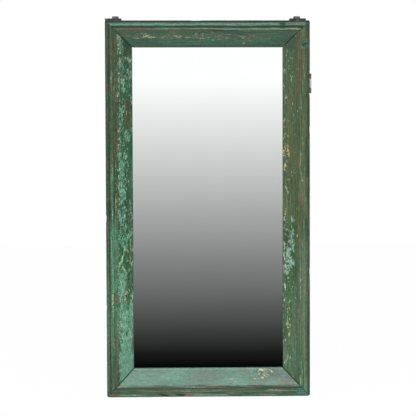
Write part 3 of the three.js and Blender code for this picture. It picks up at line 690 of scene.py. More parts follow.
def section():
    """The member's closed outline, (across, deep) in mm, from the back of its outer edge."""
    corners = [(0, DEPTH)]
    turns = [math.pi / 2 * i / ROUND_STEPS for i in range(ROUND_STEPS + 1)]
    corners += [(EDGE_ROUND * (1 - math.cos(t)), EDGE_ROUND * (1 - math.sin(t))) for t in turns]
    corners += [(OUTER_FILLET, 0), (OUTER_FILLET + QUIRK_WIDTH / 2, QUIRK_DEPTH)]
    corners += bead(WIDE_START, *WIDE_BEAD)
    corners += bead(NARROW_START, *NARROW_BEAD)
    corners += [(ARRIS, ARRIS_DEPTH), (STILE - SIGHT_FLAT, SPLAY_FOOT), (STILE, SPLAY_FOOT)]
    corners += [(STILE, SPLAY_FOOT + SIGHT_EDGE), (STILE - REBATE, SPLAY_FOOT + SIGHT_EDGE)]
    corners += [(STILE - REBATE, DEPTH)]
    outline = []
    for here, there in zip(corners, corners[1:] + corners[:1]):
        step = FACE_STEP if max(here[1], there[1]) < SPLAY_FOOT + 1 else BACK_STEP
        count = max(1, round(math.dist(here, there) / step))
        for i in range(count):
            share = i / count
            outline.append((here[0] + (there[0] - here[0]) * share,
                            here[1] + (there[1] - here[1]) * share))
    return outline


def grown(outline, by):
    """The outline moved out by a distance, for the envelope."""
    ring = np.array(outline)
    along = np.roll(ring, -1, 0) - np.roll(ring, 1, 0)
    outward = np.stack([along[:, 1], -along[:, 0]], 1)
    outward /= np.linalg.norm(outward, axis=1)[:, None]
    area = np.sum(ring[:, 0] * np.roll(ring[:, 1], -1) - np.roll(ring[:, 0], -1) * ring[:, 1])
    return ring + outward * by * (1 if area > 0 else -1)


def member_tree():
    """Geometry Nodes: an outline swept along a member and sheared to its two mitres."""
    tree = bpy.data.node_groups.new("mitred moulding", "GeometryNodeTree")
    tree.interface.new_socket("Outline", in_out="INPUT", socket_type="NodeSocketGeometry")
    for name, kind in (("Length", "NodeSocketFloat"), ("Rings", "NodeSocketInt"),
                       ("Start Slope", "NodeSocketFloat"), ("End Slope", "NodeSocketFloat"),
                       ("Overrun", "NodeSocketFloat"), ("Unevenness", "NodeSocketFloat"),
                       ("Seed", "NodeSocketFloat"), ("Finish", "NodeSocketMaterial")):
        tree.interface.new_socket(name, in_out="INPUT", socket_type=kind)
    tree.interface.new_socket("Member", in_out="OUTPUT", socket_type="NodeSocketGeometry")
    given = add(tree, "NodeGroupInput").outputs

    # The outline keeps each point's place across and deep, and the line its share of the length.
    spot = add(tree, "ShaderNodeSeparateXYZ", {0: add(tree, "GeometryNodeInputPosition")}).outputs
    marked = given["Outline"]
    for name, value in (("across", spot["X"]), ("deep", spot["Y"])):
        marked = add(tree, "GeometryNodeStoreNamedAttribute",
                     {"Geometry": marked, "Name": name, "Value": value},
                     data_type="FLOAT", domain="POINT")
    profile = add(tree, "GeometryNodeMeshToCurve", {0: marked})
    line = add(tree, "GeometryNodeCurvePrimitiveLine", {"End": (0, 0, 1)})
    rings = add(tree, "GeometryNodeResampleCurve", {"Curve": line, "Count": given["Rings"]})
    share = add(tree, "GeometryNodeSplineParameter").outputs["Factor"]
    path = add(tree, "GeometryNodeStoreNamedAttribute",
               {"Geometry": rings, "Name": "share", "Value": share},
               data_type="FLOAT", domain="POINT")
    swept = add(tree, "GeometryNodeCurveToMesh",
                {"Curve": path, "Profile Curve": profile, "Fill Caps": True})
    across, deep, along = [
        add(tree, "GeometryNodeInputNamedAttribute", {"Name": name}, data_type="FLOAT")
        for name in ("across", "deep", "share")]

    # Each point then goes to its own stretch between the mitres.
    start = add(tree, "ShaderNodeMath", {0: across, 1: given["Start Slope"]}, operation="MULTIPLY")
    begin = add(tree, "ShaderNodeMath", {0: start, 1: given["Overrun"]}, operation="SUBTRACT")
    short = add(tree, "ShaderNodeMath", {0: across, 1: given["End Slope"]}, operation="MULTIPLY")
    full = add(tree, "ShaderNodeMath", {0: given["Length"], 1: given["Overrun"]}, operation="ADD")
    stop = add(tree, "ShaderNodeMath", {0: full, 1: short}, operation="SUBTRACT")
    run = add(tree, "ShaderNodeMix", {"Factor": along, "A": begin, "B": stop}, data_type="FLOAT")
    bench = add(tree, "ShaderNodeCombineXYZ", {"X": across, "Y": deep, "Z": run})

    # A face planed by hand wanders in depth.
    wave = add(tree, "ShaderNodeTexNoise",
               {"Vector": bench, "W": given["Seed"], "Scale": 1 / WANDER, "Detail": 1.0},
               noise_dimensions="4D")
    lean = add(tree, "ShaderNodeMath", {0: wave, 1: given["Unevenness"]}, operation="MULTIPLY")
    sag = add(tree, "ShaderNodeCombineXYZ", {"Y": lean})
    place = add(tree, "ShaderNodeVectorMath", {0: bench, 1: sag}, operation="ADD")
    moved = add(tree, "GeometryNodeSetPosition", {"Geometry": swept, "Position": place})
    whole = add(tree, "GeometryNodeRealizeInstances", {0: moved})
    painted = add(tree, "GeometryNodeSetMaterial", {0: whole, "Material": given["Finish"]})
    add(tree, "NodeGroupOutput", {0: painted})
    return tree


def swept_member(tree, outline, finish, sizes):
    """The tree's result as a plain mesh in bench coordinates: across, deep, along, in mm."""
    mesh = bpy.data.meshes.new("outline")
    count = len(outline)
    edges = [(i, (i + 1) % count) for i in range(count)]
    mesh.from_pydata([(a, d, 0) for a, d in outline], edges, [])
    bench = new_object("outline", mesh)
    sweep = bench.modifiers.new("sweep", "NODES")
    sockets = {item.name: item.identifier for item in tree.interface.items_tree
               if item.in_out == "INPUT"}
    for name, value in {**sizes, "Finish": finish}.items():
        sweep[sockets[name]] = value
    sweep.node_group = tree
    made = baked(bench, "swept")
    dismiss(bench)
    return made


def bench_to_place(name, bench):
    """Bench coordinates, in mm, to the member's place in the frame, in metres."""
    across, deep, along = bench.T
    places = {
        "left_stile": (LEFT_X + across, along),
        "right_stile": (RIGHT_X - across, along),
        "top_rail": (LEFT_X + along, TOP_Z - across * TOP_RAIL / STILE),
        "bottom_rail": (LEFT_X + along, across * BOTTOM_RAIL / STILE),
    }
    x, z = places[name]
    return np.stack([x, FRONT_Y + deep, z], 1) * MM


def place_to_bench(name, place):
    """A member's points, in metres, to across, deep and along in real mm."""
    x, y, z = (place / MM).T
    across = {"left_stile": x - LEFT_X, "right_stile": RIGHT_X - x,
              "top_rail": TOP_Z - z, "bottom_rail": z}[name]
    along = z if "stile" in name else x
    return across, y - FRONT_Y, along


def outward_normals(sweep):
    """The sweep's vertex normals, turned outwards, and square to its length at the two ends."""
    normals = points_of(sweep, "normal")
    bench = points_of(sweep)
    middle_edge = np.argmin(bench[:, 0] + np.abs(bench[:, 1] - DEPTH / 2))
    if normals[middle_edge, 0] > 0:
        normals = -normals
    ends = np.abs(normals[:, 2]) > 0.3
    normals[ends, 2] = 0
    return normals


def wear(name, bench, outward):
    """Push the section in where paint and wood have gone. Nothing ever stands proud."""
    across, deep, along = bench.T
    seed = MEMBERS[name]["seed"]
    real = across * MEMBER_WIDTH[name] / STILE
    place = along if "stile" in name else along - WIDTH / 2
    front = 1 - smooth(deep, SPLAY_FOOT + 0.5, SPLAY_FOOT + 3)

    # The arris, the outer edge and the wide bead's crest are rubbed away unevenly.
    arris = np.exp(-((across - ARRIS) / 1.7) ** 2)
    arris = arris * (0.2 + 1.1 * noise(along / 22, 0, seed) ** 2 + 0.35 * noise(along / 5, 1, seed))
    edge = np.exp(-(across / 3) ** 2 - (np.minimum(deep, 8) / 4) ** 2)
    edge = edge * (0.5 * noise(along / 30, 2, seed) ** 3 + 0.2 * noise(along / 7, 3, seed) ** 2)
    crest = np.exp(-((across - WIDE_START - WIDE_BEAD[0] / 2) / 2.5) ** 2)
    crest = crest * 0.35 * noise(along / 40, 4, seed) ** 2
    # The grain stands out, the mitres have opened, and bare wood and lost flakes lie lower.
    grain = 0.10 * noise(real / 1.3, along / 45, seed + 5)
    mitre = 0.9 * (1 - smooth(mitre_distance(name, real, place), 0.2, 2.2))
    bare = 0.22 * smooth(coat_level(name, "bare", real, place), 0.4, 0.8)
    flaked = 0.15 * smooth(coat_level(name, "cream", real, place), 0.5, 0.9)
    flaked = flaked * noise(real / 3, along / 4, seed + 6)
    loss = arris + edge + crest + grain + mitre + bare + flaked

    ragged = 0.6 + 0.8 * noise(real / 2.5, along / 4, seed + 7)
    for dent in MEMBERS[name]["dents"]:
        loss += dent[4] * patch_shape(real, place, dent) * ragged
    if name == "top_rail":
        for hole in NAIL_HOLES:
            loss += NAIL_DEPTH * patch_shape(real, place, (*hole, NAIL_RADIUS, NAIL_RADIUS))
    return bench - outward * (PAINT_LOSS + front * loss)[:, None]


def round_corners(place):
    """The frame's four outer corners knocked round, by one rule that both members share."""
    x, z = place[:, 0] / MM, place[:, 2] / MM
    for end, radius in CORNER_ROUND.items():
        for side in (-1, 1):
            centre_x = side * (RIGHT_X - radius)
            centre_z = TOP_Z - radius if end == "top" else radius
            dx, dz = x - centre_x, z - centre_z
            outside = (dx * side > 0) & ((dz > 0) if end == "top" else (dz < 0))
            reach = np.maximum(np.abs(dx), np.abs(dz))
            share = np.where(outside, reach / np.maximum(np.hypot(dx, dz), 1e-9), 1)
            x, z = centre_x + dx * share, centre_z + dz * share
    return np.stack([x * MM, place[:, 1], z * MM], 1)


def store_paint(name, piece):
    """Keep what the paint reads on a member's mesh: each coat's level, its shade and its streaks."""
    across, deep, along = place_to_bench(name, points_of(piece))
    made = MEMBERS[name]
    side = smooth(deep, 18, 30) * (np.abs(across) < 4)
    behind = np.clip(side + (deep > DEPTH - 4), 0, 1)
    patchy = 2 * noise(across / 30 + deep / 9, along / 60, made["seed"] + 500)
    # The sight edge at the glass takes the full dark coat: painted shade, with dirt.
    sight_edge = (deep > SPLAY_FOOT + 0.9) & (deep < SPLAY_FOOT + SIGHT_EDGE + 1)
    for coat in COATS:
        level = coat_level(name, coat, across, along)
        level = level * (1 - behind) + BEHIND[coat] * patchy * behind
        store(piece, coat, np.where(sight_edge, 1.0, level) if coat == "dark" else level)
    store(piece, "shade", shade_level(name, across, along))
    store(piece, "streaky", 1 - smooth(across, 27, 32) * (1 - made["streaky_splay"]))


def moulded_member(name, tree, finish):
    """One painted member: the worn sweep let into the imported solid."""
    is_stile = "stile" in name
    start, end = (BOTTOM_RAIL, TOP_RAIL) if is_stile else (STILE, STILE)
    length = TOP_Z if is_stile else WIDTH
    sizes = {"Length": float(length), "Rings": round(length / RING_STEP),
             "Start Slope": start / STILE, "End Slope": end / STILE,
             "Seed": float(MEMBERS[name]["seed"])}
    outline = section()
    worn = swept_member(tree, outline, finish,
                        {**sizes, "Overrun": OVERRUN, "Unevenness": UNEVENNESS})
    envelope = swept_member(tree, grown(outline, ENVELOPE), finish,
                            {**sizes, "Overrun": 0.0, "Unevenness": 0.0})
    worn_bench = wear(name, points_of(worn), outward_normals(worn))
    put_points(worn, round_corners(bench_to_place(name, worn_bench)))
    put_points(envelope, bench_to_place(name, points_of(envelope)))
    rework(worn, turn_outwards)
    rework(envelope, turn_outwards)
    skin = cut_away(envelope, worn, "skin")
    piece = cut_away(merged_copy(name), skin, name + "_painted")
    store_paint(name, piece)
    finish_faces(piece, finish, MEMBER_CREASE)
    return new_object(name + "_painted", piece)


# ------------------------------------------------------------------ finishes

PAINTS = {
    # Strong green under flaked pale teal.
    "left_stile": dict(deep="#123f29", green="#386f49", olive="#4e4e36", faded="#3c7a57",
                       pale="#559272", mint="#8fc0a6", cream="#cdc69a", bare="#7b5140",
                       raw="#43382b", chalk="#6a947e", speck=0.4),
    # Plainer olive green with yellowed primer.
    "right_stile": dict(deep="#26492f", green="#446b43", olive="#545839", faded="#457a58",
                        pale="#69a38c", mint="#b4d2c6", cream="#cfbb7c", bare="#7d5e45",
                        raw="#544a35", chalk="#688271", speck=0.25),
    # Dark green splay under a pale teal fillet and bead.
    "top_rail": dict(deep="#254636", green="#3f604d", olive="#4c5340", faded="#4b7560",
                     pale="#598674", mint="#82aa98", cream="#a1906c", bare="#6c5343",
                     raw="#38261b", chalk="#869787", speck=0.22),
    # Faded grey teal.
    "bottom_rail": dict(deep="#2a543e", green="#4c7257", olive="#5a634c", faded="#70867a",
                        pale="#6d9783", mint="#8cb29e", cream="#e8e4bd", bare="#9c7060",
                        raw="#4c4638", chalk="#5b978a", speck=0.14),
}
# Darker and bluer green over putty.
PUTTY_PAINT = dict(deep="#174c3c", green="#256049", olive="#3b5443", faded="#34725b",
                   pale="#47806a", mint="#79a894", cream="#9fb79b", bare="#5a5040",
                   raw="#33402f", chalk="#4f8a74", speck=0.3)
# The dark coat's colour: dirt, and painted shade where the dark coat stands for it.
GRIME_AND_SHADE = "#12281a"

# Coordinates along a member are squeezed by this, so that a pattern is drawn out with the grain.
GRAIN_SQUEEZE = {"long": 0.035, "short": 0.4}

# The noises that break up the coats: how each is drawn out, its width in mm, its detail and
# roughness, and the stretch of it that is spread from 0 to 1.
PAINT_NOISES = {
    # Real growth rings are finer than a millimetre. Drawn 2.4 mm wide, so that they show.
    "grain": ("long", 2.4, 3.0, 0.7, 0.34, 0.66),
    "run": ("long", 3.2, 4.0, 0.75, 0.34, 0.66),
    "flake": ("short", 7.5, 4.0, 0.76, 0.33, 0.67),
    "cloud": ("short", 40, 2.0, 0.5, 0.38, 0.62),
    "grit": ("short", 3.4, 2.0, 0.65, 0.32, 0.68),
}

# The sum of level and noise at which each coat begins to show and shows fully. "inside" is the
# pale coat short of its rim.
COAT_EDGES = (("pale", "pale", 0.95, 1.05), ("inside", "pale", 1.06, 1.26),
              ("cream", "cream", 0.88, 1.12), ("olive", "olive", 0.7, 1.3),
              ("bare", "bare", 0.9, 1.1))


def paint_patterns(tree, upright):
    """The noises, from 0 to 1, and two sets of torn lines, all drawn out along the member."""
    place = add(tree, "ShaderNodeTexCoord").outputs["Object"]
    drawn_out = {}
    for name, squeeze in GRAIN_SQUEEZE.items():
        scale = (1, 1, squeeze) if upright else (squeeze, 1, 1)
        drawn_out[name] = add(tree, "ShaderNodeMapping", {"Vector": place, "Scale": scale})
    patterns = {}
    for name, (way, width, detail, roughness, low, high) in PAINT_NOISES.items():
        cells = add(tree, "ShaderNodeTexNoise",
                    {"Vector": drawn_out[way], "Scale": 1000 / width, "Detail": detail,
                     "Roughness": roughness})
        patterns[name] = add(tree, "ShaderNodeMapRange",
                             {"Value": cells, "From Min": low, "From Max": high})
    # Contour lines of a twisted noise are thin and torn.
    twisted = add(tree, "ShaderNodeTexNoise",
                  {"Vector": drawn_out["short"], "Scale": 1000 / 5.5, "Detail": 1.0,
                   "Distortion": 0.8})
    for name, height, width in (("craze", 0.47, 0.06), ("tear", 0.56, 0.045)):
        off = add(tree, "ShaderNodeMath", {0: twisted, 1: height}, operation="SUBTRACT")
        off = add(tree, "ShaderNodeMath", {0: off}, operation="ABSOLUTE")
        patterns[name] = add(tree, "ShaderNodeMapRange",
                             {"Value": off, "From Min": width, "From Max": width * 0.35},
                             interpolation_type="SMOOTHSTEP")
    return patterns


def coats_shown(tree, level, pattern):
    """Where each coat shows: where its level and a noise from 0 to 1 add up to more than 1, so
    that its level is the share of the surface that it covers."""
    # Flakes run along the grain on the beads and are islands on the splay.
    broken = add(tree, "ShaderNodeMix",
                 {"Factor": level["streaky"], "A": pattern["flake"], "B": pattern["run"]},
                 data_type="FLOAT")
    shown = {}
    for name, coat, low, high in COAT_EDGES:
        edge = broken if coat in ("pale", "cream") else pattern["grain"]
        total = add(tree, "ShaderNodeMath", {0: level[coat], 1: edge}, operation="ADD")
        shown[name] = add(tree, "ShaderNodeMapRange",
                          {"Value": total, "From Min": low, "From Max": high},
                          interpolation_type="SMOOTHSTEP")
    return shown


def old_paint(member, tones):
    """Softwood under several coats of oil paint, brushed, sun-faded and flaking: chalked matt,
    grain streaks along the member, ragged islands of the last pale coat with a bright broken
    rim, worm-like crazing, cream primer in torn lines and brown wood where weather reached it."""
    material, tree = blank_material(member.replace("_", " ") + " flaked oil paint")
    pattern = paint_patterns(tree, upright="rail" not in member)
    level = {name: add(tree, "ShaderNodeAttribute", attribute_name=name).outputs["Fac"]
             for name in (*COATS, "streaky", "shade")}
    shown = coats_shown(tree, level, pattern)
    tone = {name: paint(value) for name, value in tones.items() if name != "speck"}

    # Coats that aren't sound have cracked, and the pale one is bright along its tears and rims.
    crazing = add(tree, "ShaderNodeMapRange",
                  {"Value": level["sound"], "To Min": 0.9, "To Max": 0.0})
    cracks = add(tree, "ShaderNodeMath", {0: pattern["craze"], 1: crazing}, operation="MULTIPLY")
    fissures = add(tree, "ShaderNodeMath", {0: cracks, 1: 0.45}, operation="MULTIPLY")
    torn = add(tree, "ShaderNodeMath", {0: pattern["tear"], 1: pattern["cloud"]},
               operation="MULTIPLY")
    torn = add(tree, "ShaderNodeMath", {0: torn, 1: crazing}, operation="MULTIPLY")
    rim = add(tree, "ShaderNodeMath", {0: shown["pale"], 1: shown["inside"]}, operation="SUBTRACT")
    rim_share = add(tree, "ShaderNodeMapRange",
                    {"Value": level["streaky"], "To Min": 0.6, "To Max": 0.15})
    rim = add(tree, "ShaderNodeMath", {0: rim, 1: rim_share}, operation="MULTIPLY")
    primer = add(tree, "ShaderNodeMath", {0: pattern["tear"], 1: shown["cream"]},
                 operation="MULTIPLY")
    # The dark coat is dirt with painted shade.
    dirt_and_shade = add(tree, "ShaderNodeMath", {0: level["dark"], 1: 0.9}, operation="MULTIPLY")

    # Green and wood are darker and lighter along the grain, and the pale coat in clouds.
    body = {}
    for name, share, dark, light in (("green", "grain", "deep", "green"),
                                     ("pale", "cloud", "faded", "pale"),
                                     ("wood", "grain", "raw", "bare")):
        body[name] = add(tree, "ShaderNodeMix",
                         {0: pattern[share], 6: tone[dark], 7: tone[light]},
                         data_type="RGBA").outputs[2]
    pale = body["pale"]
    for share, over in ((rim, tone["mint"]), (torn, tone["mint"]), (cracks, tone["deep"])):
        pale = add(tree, "ShaderNodeMix", {0: share, 6: pale, 7: over},
                   data_type="RGBA").outputs[2]
    # From the bottom up: green coat with dark cracks, browned in long olive streaks, broken
    # islands of the pale coat, bare brown wood, cream primer in torn lines, a chalky veil where
    # the sun has bleached it, and the dark coat, dirt with painted shade, in the quirks, in the
    # mitres, on the outer edge, under the top rail's wide bead and on the sight edge at the glass.
    colour = body["green"]
    for share, over in ((fissures, tone["deep"]), (shown["olive"], tone["olive"]),
                        (shown["pale"], pale), (shown["bare"], body["wood"]),
                        (primer, tone["cream"]), (level["chalk"], tone["chalk"]),
                        (dirt_and_shade, paint(GRIME_AND_SHADE))):
        colour = add(tree, "ShaderNodeMix", {0: share, 6: colour, 7: over},
                     data_type="RGBA").outputs[2]
    # A fine speckle over all of it, times the shade attribute, which is painted light and shade.
    speck = add(tree, "ShaderNodeMapRange",
                {"Value": pattern["grit"], "To Min": 1 - tones["speck"],
                 "To Max": 1 + tones["speck"] * 0.9})
    speck = add(tree, "ShaderNodeMath", {0: speck, 1: level["shade"]}, operation="MULTIPLY")
    colour = add(tree, "ShaderNodeVectorMath", {0: colour, "Scale": speck}, operation="SCALE")

    height = pattern["grain"]
    for share, operation in ((shown["pale"], "ADD"), (shown["bare"], "SUBTRACT"),
                             (primer, "SUBTRACT"), (cracks, "SUBTRACT")):
        height = add(tree, "ShaderNodeMath", {0: height, 1: share}, operation=operation)
    relief = add(tree, "ShaderNodeBump", {"Height": height, "Strength": 0.8, "Distance": 0.3 * MM})
    dull = add(tree, "ShaderNodeMapRange",
               {"Value": shown["bare"], "To Min": 0.6, "To Max": 0.85})
    # Chalked oil paint has lost most of its gloss.
    surface = add(tree, "ShaderNodeBsdfPrincipled",
                  {"Base Color": colour, "Roughness": dull, "Specular IOR Level": 0.32,
                   "Normal": relief})
    add(tree, "ShaderNodeOutputMaterial", {"Surface": surface})
    return material


def sawn_softwood():
    """Unpainted pine, sawn and gone dusty: dull, with broad brown growth rings."""
    material, tree = blank_material("dusty sawn pine")
    place = add(tree, "ShaderNodeTexCoord").outputs["Object"]
    mapped = add(tree, "ShaderNodeMapping", {"Vector": place, "Scale": (0.2, 1, 0.2)})
    rings = add(tree, "ShaderNodeTexNoise", {"Vector": mapped, "Scale": 1000 / 2.5, "Detail": 4.0})
    dust = add(tree, "ShaderNodeTexNoise", {"Vector": place, "Scale": 1000 / 30, "Detail": 3.0})
    wood = paint("#5f452f")
    for share, over in ((rings, "#9a7a58"), (dust, "#7d6a55")):
        wood = add(tree, "ShaderNodeMix", {0: share, 6: wood, 7: paint(over)},
                   data_type="RGBA").outputs[2]
    relief = add(tree, "ShaderNodeBump", {"Height": rings, "Strength": 0.5, "Distance": 0.2 * MM})
    surface = add(tree, "ShaderNodeBsdfPrincipled",
                  {"Base Color": wood, "Roughness": 0.86, "Normal": relief})
    add(tree, "ShaderNodeOutputMaterial", {"Surface": surface})
    return material


def pressed_hardboard():
    """Hardboard, pressed on a wire screen: low raised waves on dark brown fibre."""
    material, tree = blank_material("pressed hardboard")
    place = add(tree, "ShaderNodeTexCoord").outputs["Object"]
    fibre = add(tree, "ShaderNodeTexNoise", {"Vector": place, "Scale": 1000 / 1.8, "Detail": 3.0})
    blotch = add(tree, "ShaderNodeTexNoise", {"Vector": place, "Scale": 1000 / 70, "Detail": 3.0})
    # The real screen has a 1.2 mm mesh. These waves are 19 mm long, as a wave is 0.314 over its
    # scale, and show only as a slow ripple.
    waves = [
        add(tree, "ShaderNodeTexWave", {"Vector": place, "Scale": 1000 / 60},
            bands_direction=direction).outputs["Fac"] for direction in ("X", "Z")]
    screen = add(tree, "ShaderNodeMath", {0: waves[0], 1: waves[1]}, operation="MULTIPLY")
    brown = paint("#4a3021")
    for share, over in ((fibre, "#7f5b3e"), (blotch, "#6a4c35")):
        brown = add(tree, "ShaderNodeMix", {0: share, 6: brown, 7: paint(over)},
                    data_type="RGBA").outputs[2]
    height = add(tree, "ShaderNodeMath", {0: screen, 1: fibre}, operation="ADD")
    relief = add(tree, "ShaderNodeBump", {"Height": height, "Strength": 0.6, "Distance": 0.25 * MM})
    surface = add(tree, "ShaderNodeBsdfPrincipled",
                  {"Base Color": brown, "Roughness": 0.78, "Normal": relief})
    add(tree, "ShaderNodeOutputMaterial", {"Surface": surface})
    return material


def silvered_glass():
    """Float glass, silvered behind: a clean mirror, with a trace of haze."""
    material, tree = blank_material("silvered float glass")
    place = add(tree, "ShaderNodeTexCoord").outputs["Object"]
    haze = add(tree, "ShaderNodeTexNoise", {"Vector": place, "Scale": 1000 / 90, "Detail": 4.0})
    blur = add(tree, "ShaderNodeMapRange",
               {"Value": haze, "From Min": 0.3, "From Max": 0.7, "To Min": 0.0, "To Max": 0.012})
    tint = add(tree, "ShaderNodeMix", {0: haze, 6: paint("#fafcfb"), 7: paint("#f4f8f7")},
               data_type="RGBA").outputs[2]
    surface = add(tree, "ShaderNodeBsdfPrincipled",
                  {"Base Color": tint, "Roughness": blur, "Metallic": 1.0})
    add(tree, "ShaderNodeOutputMaterial", {"Surface": surface})
    return material


def rusted_iron(name, dark, rust, bright, rust_share):
    """Mild steel left to rust: dark scale with a matt brown bloom over it."""
    material, tree = blank_material(name)
    place = add(tree, "ShaderNodeTexCoord").outputs["Object"]
    bloom = add(tree, "ShaderNodeTexNoise",
                {"Vector": place, "Scale": 1000 / 9, "Detail": 5.0, "Roughness": 0.7})
    pit = add(tree, "ShaderNodeTexNoise", {"Vector": place, "Scale": 1000 / 1.6, "Detail": 3.0})
    mask = add(tree, "ShaderNodeMapRange",
               {"Value": bloom, "From Min": 0.62 - rust_share * 0.3,
                "From Max": 0.7 - rust_share * 0.3}, interpolation_type="SMOOTHSTEP")
    rusty = add(tree, "ShaderNodeMix", {0: pit, 6: paint(rust), 7: paint(bright)},
                data_type="RGBA").outputs[2]
    colour = add(tree, "ShaderNodeMix", {0: mask, 6: paint(dark), 7: rusty},
                 data_type="RGBA").outputs[2]
    metal = add(tree, "ShaderNodeMapRange", {"Value": mask, "To Min": 0.75, "To Max": 0.05})
    dull = add(tree, "ShaderNodeMapRange", {"Value": mask, "To Min": 0.5, "To Max": 0.88})
    relief = add(tree, "ShaderNodeBump", {"Height": pit, "Strength": 0.8, "Distance": 0.25 * MM})
    surface = add(tree, "ShaderNodeBsdfPrincipled",
                  {"Base Color": colour, "Metallic": metal, "Roughness": dull, "Normal": relief})
    add(tree, "ShaderNodeOutputMaterial", {"Surface": surface})
    return material


def dull_steel(name, grey, stain, shine):
    """Bright steel gone dull: a soft grey sheen with stains and fine scratches, under a grey
    bloom that hides the metal where its shine is low."""
    material, tree = blank_material(name)
    place = add(tree, "ShaderNodeTexCoord").outputs["Object"]
    cloud = add(tree, "ShaderNodeTexNoise", {"Vector": place, "Scale": 1000 / 6, "Detail": 4.0})
    # Real scratches are a tenth of a millimetre wide. Drawn 0.8 mm wide, so that they show.
    drawn_out = add(tree, "ShaderNodeMapping", {"Vector": place, "Scale": (1, 1, 0.08)})
    scratch = add(tree, "ShaderNodeTexNoise",
                  {"Vector": drawn_out, "Scale": 1000 / 0.8, "Detail": 2.0})
    stained = add(tree, "ShaderNodeMapRange", {"Value": cloud, "From Min": 0.52, "From Max": 0.68})
    colour = add(tree, "ShaderNodeMix", {0: stained, 6: paint(grey), 7: paint(stain)},
                 data_type="RGBA").outputs[2]
    dull = add(tree, "ShaderNodeMapRange", {"Value": cloud, "To Min": 0.3, "To Max": 0.65})
    relief = add(tree, "ShaderNodeBump",
                 {"Height": scratch, "Strength": 0.4, "Distance": 0.08 * MM})
    surface = add(tree, "ShaderNodeBsdfPrincipled",
                  {"Base Color": colour, "Metallic": shine, "Roughness": dull, "Normal": relief})
    add(tree, "ShaderNodeOutputMaterial", {"Surface": surface})
    return material


# ------------------------------------------------------------------ the filled hole, in mm

PUTTY_SIDES, PUTTY_RINGS = 64, 16
# How deep the putty lies at its middle, how much it is dished, how deep its rim lies, and its
# roughness.
PUTTY_MIDDLE, PUTTY_DISH, PUTTY_RIM, PUTTY_ROUGHNESS = 1.3, 1.1, 0.12, 0.35
# Pits, as (to the right, upwards, half width, depth) from the middle.
PUTTY_PITS = ((-2.4, 0.3, 2.2, 2.2), (3.6, 3.0, 1.9, 2.0), (-5.0, -4.4, 1.2, 1.0),
              (2.6, -5.4, 1.4, 0.9))
# Each level at the middle, and what it gains to the right and upwards.
PUTTY_LEVELS = {"pale": (0.35, -0.3, 0.35), "olive": (0.1, 0, 0), "bare": (0.1, 0, 0),
                "cream": (0.3, 0.1, -0.35), "dark": (0.15, 0.1, -0.05), "chalk": (0, 0, 0),
                "sound": (0.5, 0, 0), "streaky": (0, 0, 0), "shade": (0.8, 0, 0)}


def filled_hole(finish):
    """Putty knifed into a round hole and painted over: dished and pitted."""
    low, high = box_mm("hole_plug")
    middle = (low + high) / 2
    radius = (high[0] - low[0]) / 2
    spokes = [(math.cos(2 * math.pi * i / PUTTY_SIDES), math.sin(2 * math.pi * i / PUTTY_SIDES))
              for i in range(PUTTY_SIDES)]
    points = [(middle[0], low[1] + PUTTY_MIDDLE, middle[2])]
    for ring in range(1, PUTTY_RINGS + 1):
        reach = radius * ring / PUTTY_RINGS
        for spoke_x, spoke_z in spokes:
            u, w = reach * spoke_x, reach * spoke_z
            sunk = PUTTY_RIM + PUTTY_DISH * (1 - (reach / radius) ** 4)
            sunk += PUTTY_ROUGHNESS * float(noise(u / 2.4, w / 2.4, 71))
            for x, z, size, depth in PUTTY_PITS:
                sunk += depth * (1 - float(smooth(math.hypot(u - x, w - z) / size, 0.4, 1.2)))
            points.append((middle[0] + u, low[1] + sunk, middle[2] + w))
    rim = len(points)
    points += [(middle[0] + radius * x, high[1], middle[2] + radius * z) for x, z in spokes]
    around = [(i, (i + 1) % PUTTY_SIDES) for i in range(PUTTY_SIDES)]
    faces = [(0, 1 + i, 1 + j) for i, j in around]
    for ring in range(PUTTY_RINGS):
        start = 1 + ring * PUTTY_SIDES
        beyond = start + PUTTY_SIDES
        faces += [(start + i, beyond + i, beyond + j, start + j) for i, j in around]
    faces.append(tuple(rim + i for i in range(PUTTY_SIDES)))
    mesh = bpy.data.meshes.new("hole_plug_putty")
    mesh.from_pydata([tuple(c * MM for c in p) for p in points], [], faces)
    rework(mesh, turn_outwards)
    spots = points_of(mesh) / MM
    u, w = (spots[:, 0] - middle[0]) / radius, (spots[:, 2] - middle[2]) / radius
    for coat, (level, to_right, upwards) in PUTTY_LEVELS.items():
        # The dark coat, dirt with painted shade, deepens in the pits.
        sunk = smooth(spots[:, 1] - low[1], 1.9, 2.9) if coat == "dark" else 0
        store(mesh, coat, np.clip(level + to_right * u + upwards * w + sunk, 0, 1))
    finish_faces(mesh, finish, PUTTY_CREASE)
    return new_object("hole_plug_putty", mesh)


# ------------------------------------------------------------------ metal and small wood


def dressed(node, suffix, finish, bevel_mm):
    """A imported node's shape with its flats made whole and its arrises eased."""
    mesh = merged_copy(node)
    rework(mesh, make_flats_whole)
    rough = new_object("rough", mesh)
    ease = rough.modifiers.new("ease", "BEVEL")
    ease.width = bevel_mm * MM
    ease.segments = 2
    ease.limit_method = "ANGLE"
    ease.angle_limit = math.radians(DRESSED_CREASE)
    ease.use_clamp_overlap = True
    made = baked(rough, node + suffix)
    dismiss(rough)
    finish_faces(made, finish, DRESSED_CREASE)
    return new_object(node + suffix, made)


# ------------------------------------------------------------------ making it

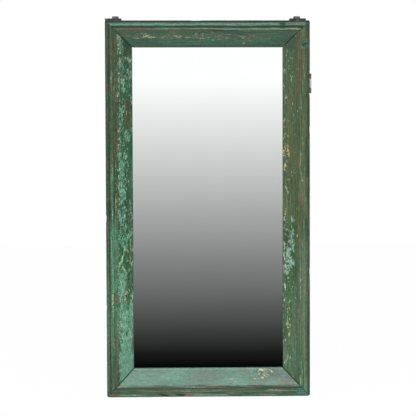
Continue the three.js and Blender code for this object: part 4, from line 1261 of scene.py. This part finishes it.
aim_camera()
whiten_surroundings()
hang_lamps()
lay_floor()
stand_graded_card()

moulding = member_tree()
for member, tones in PAINTS.items():
    piece = moulded_member(member, moulding, old_paint(member, tones))
    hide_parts(member)
    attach(piece, "frame")

putty = filled_hole(old_paint("hole_plug", PUTTY_PAINT))
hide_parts("hole_plug")
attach(putty, "frame")

pine = sawn_softwood()
hardboard = pressed_hardboard()
mirror = silvered_glass()
bracket_iron = rusted_iron("rusted bracket iron", "#2f2b2a", "#4a3831", "#77685d", 0.3)
hinge_rust = rusted_iron("rusted hinge steel", "#5c3222", "#743f2b", "#a8703f", 0.75)
steel = dull_steel("dull screw steel", "#686669", "#4a4242", 0.85)
knuckle_steel = dull_steel("worn knuckle steel", "#b2b3b2", "#9c9598", 0.28)

# For each kind of small piece, by the words in its name: what is added to its name, its finish,
# how far its arrises are eased in mm, and its slot.
DRESSINGS = {
    "hanging_bracket": ("_forged", bracket_iron, 0.6, "rusty_iron"),
    "coach_screw": ("_turned", steel, 0.5, "grey_steel"),
    "bracket_screw": ("_turned", steel, 0.25, "grey_steel"),
    "hinge_frame_leaf": ("_pressed", hinge_rust, 0.25, "rusty_iron"),
    "hinge_screw": ("_turned", hinge_rust, 0.2, "rusty_iron"),
    "hinge_loose_leaf": ("_pressed", knuckle_steel, 0.25, "grey_steel"),
    "fillet": ("_sawn", pine, 0.5, "bare_wood"),
    "peg": ("_cleft", pine, 0.4, "bare_wood"),
    "brad": ("_drawn", steel, 0.15, "grey_steel"),
}
for body, nodes in frame["record"]["behaviour"]["bodies"].items():
    for node in nodes:
        for kind, (suffix, finish, bevel, slot) in DRESSINGS.items():
            if kind in node:
                piece = dressed(node, suffix, finish, bevel)
                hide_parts(node)
                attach(piece, body)
                break

for node, finish in (("mirror_glass", mirror), ("backing_board", hardboard), ("hinge_pin", steel)):
    mesh = frame["nodes"][node].data
    mesh.materials.clear()
    mesh.materials.append(finish)

view = bpy.context.scene.view_settings
view.view_transform = "Standard"
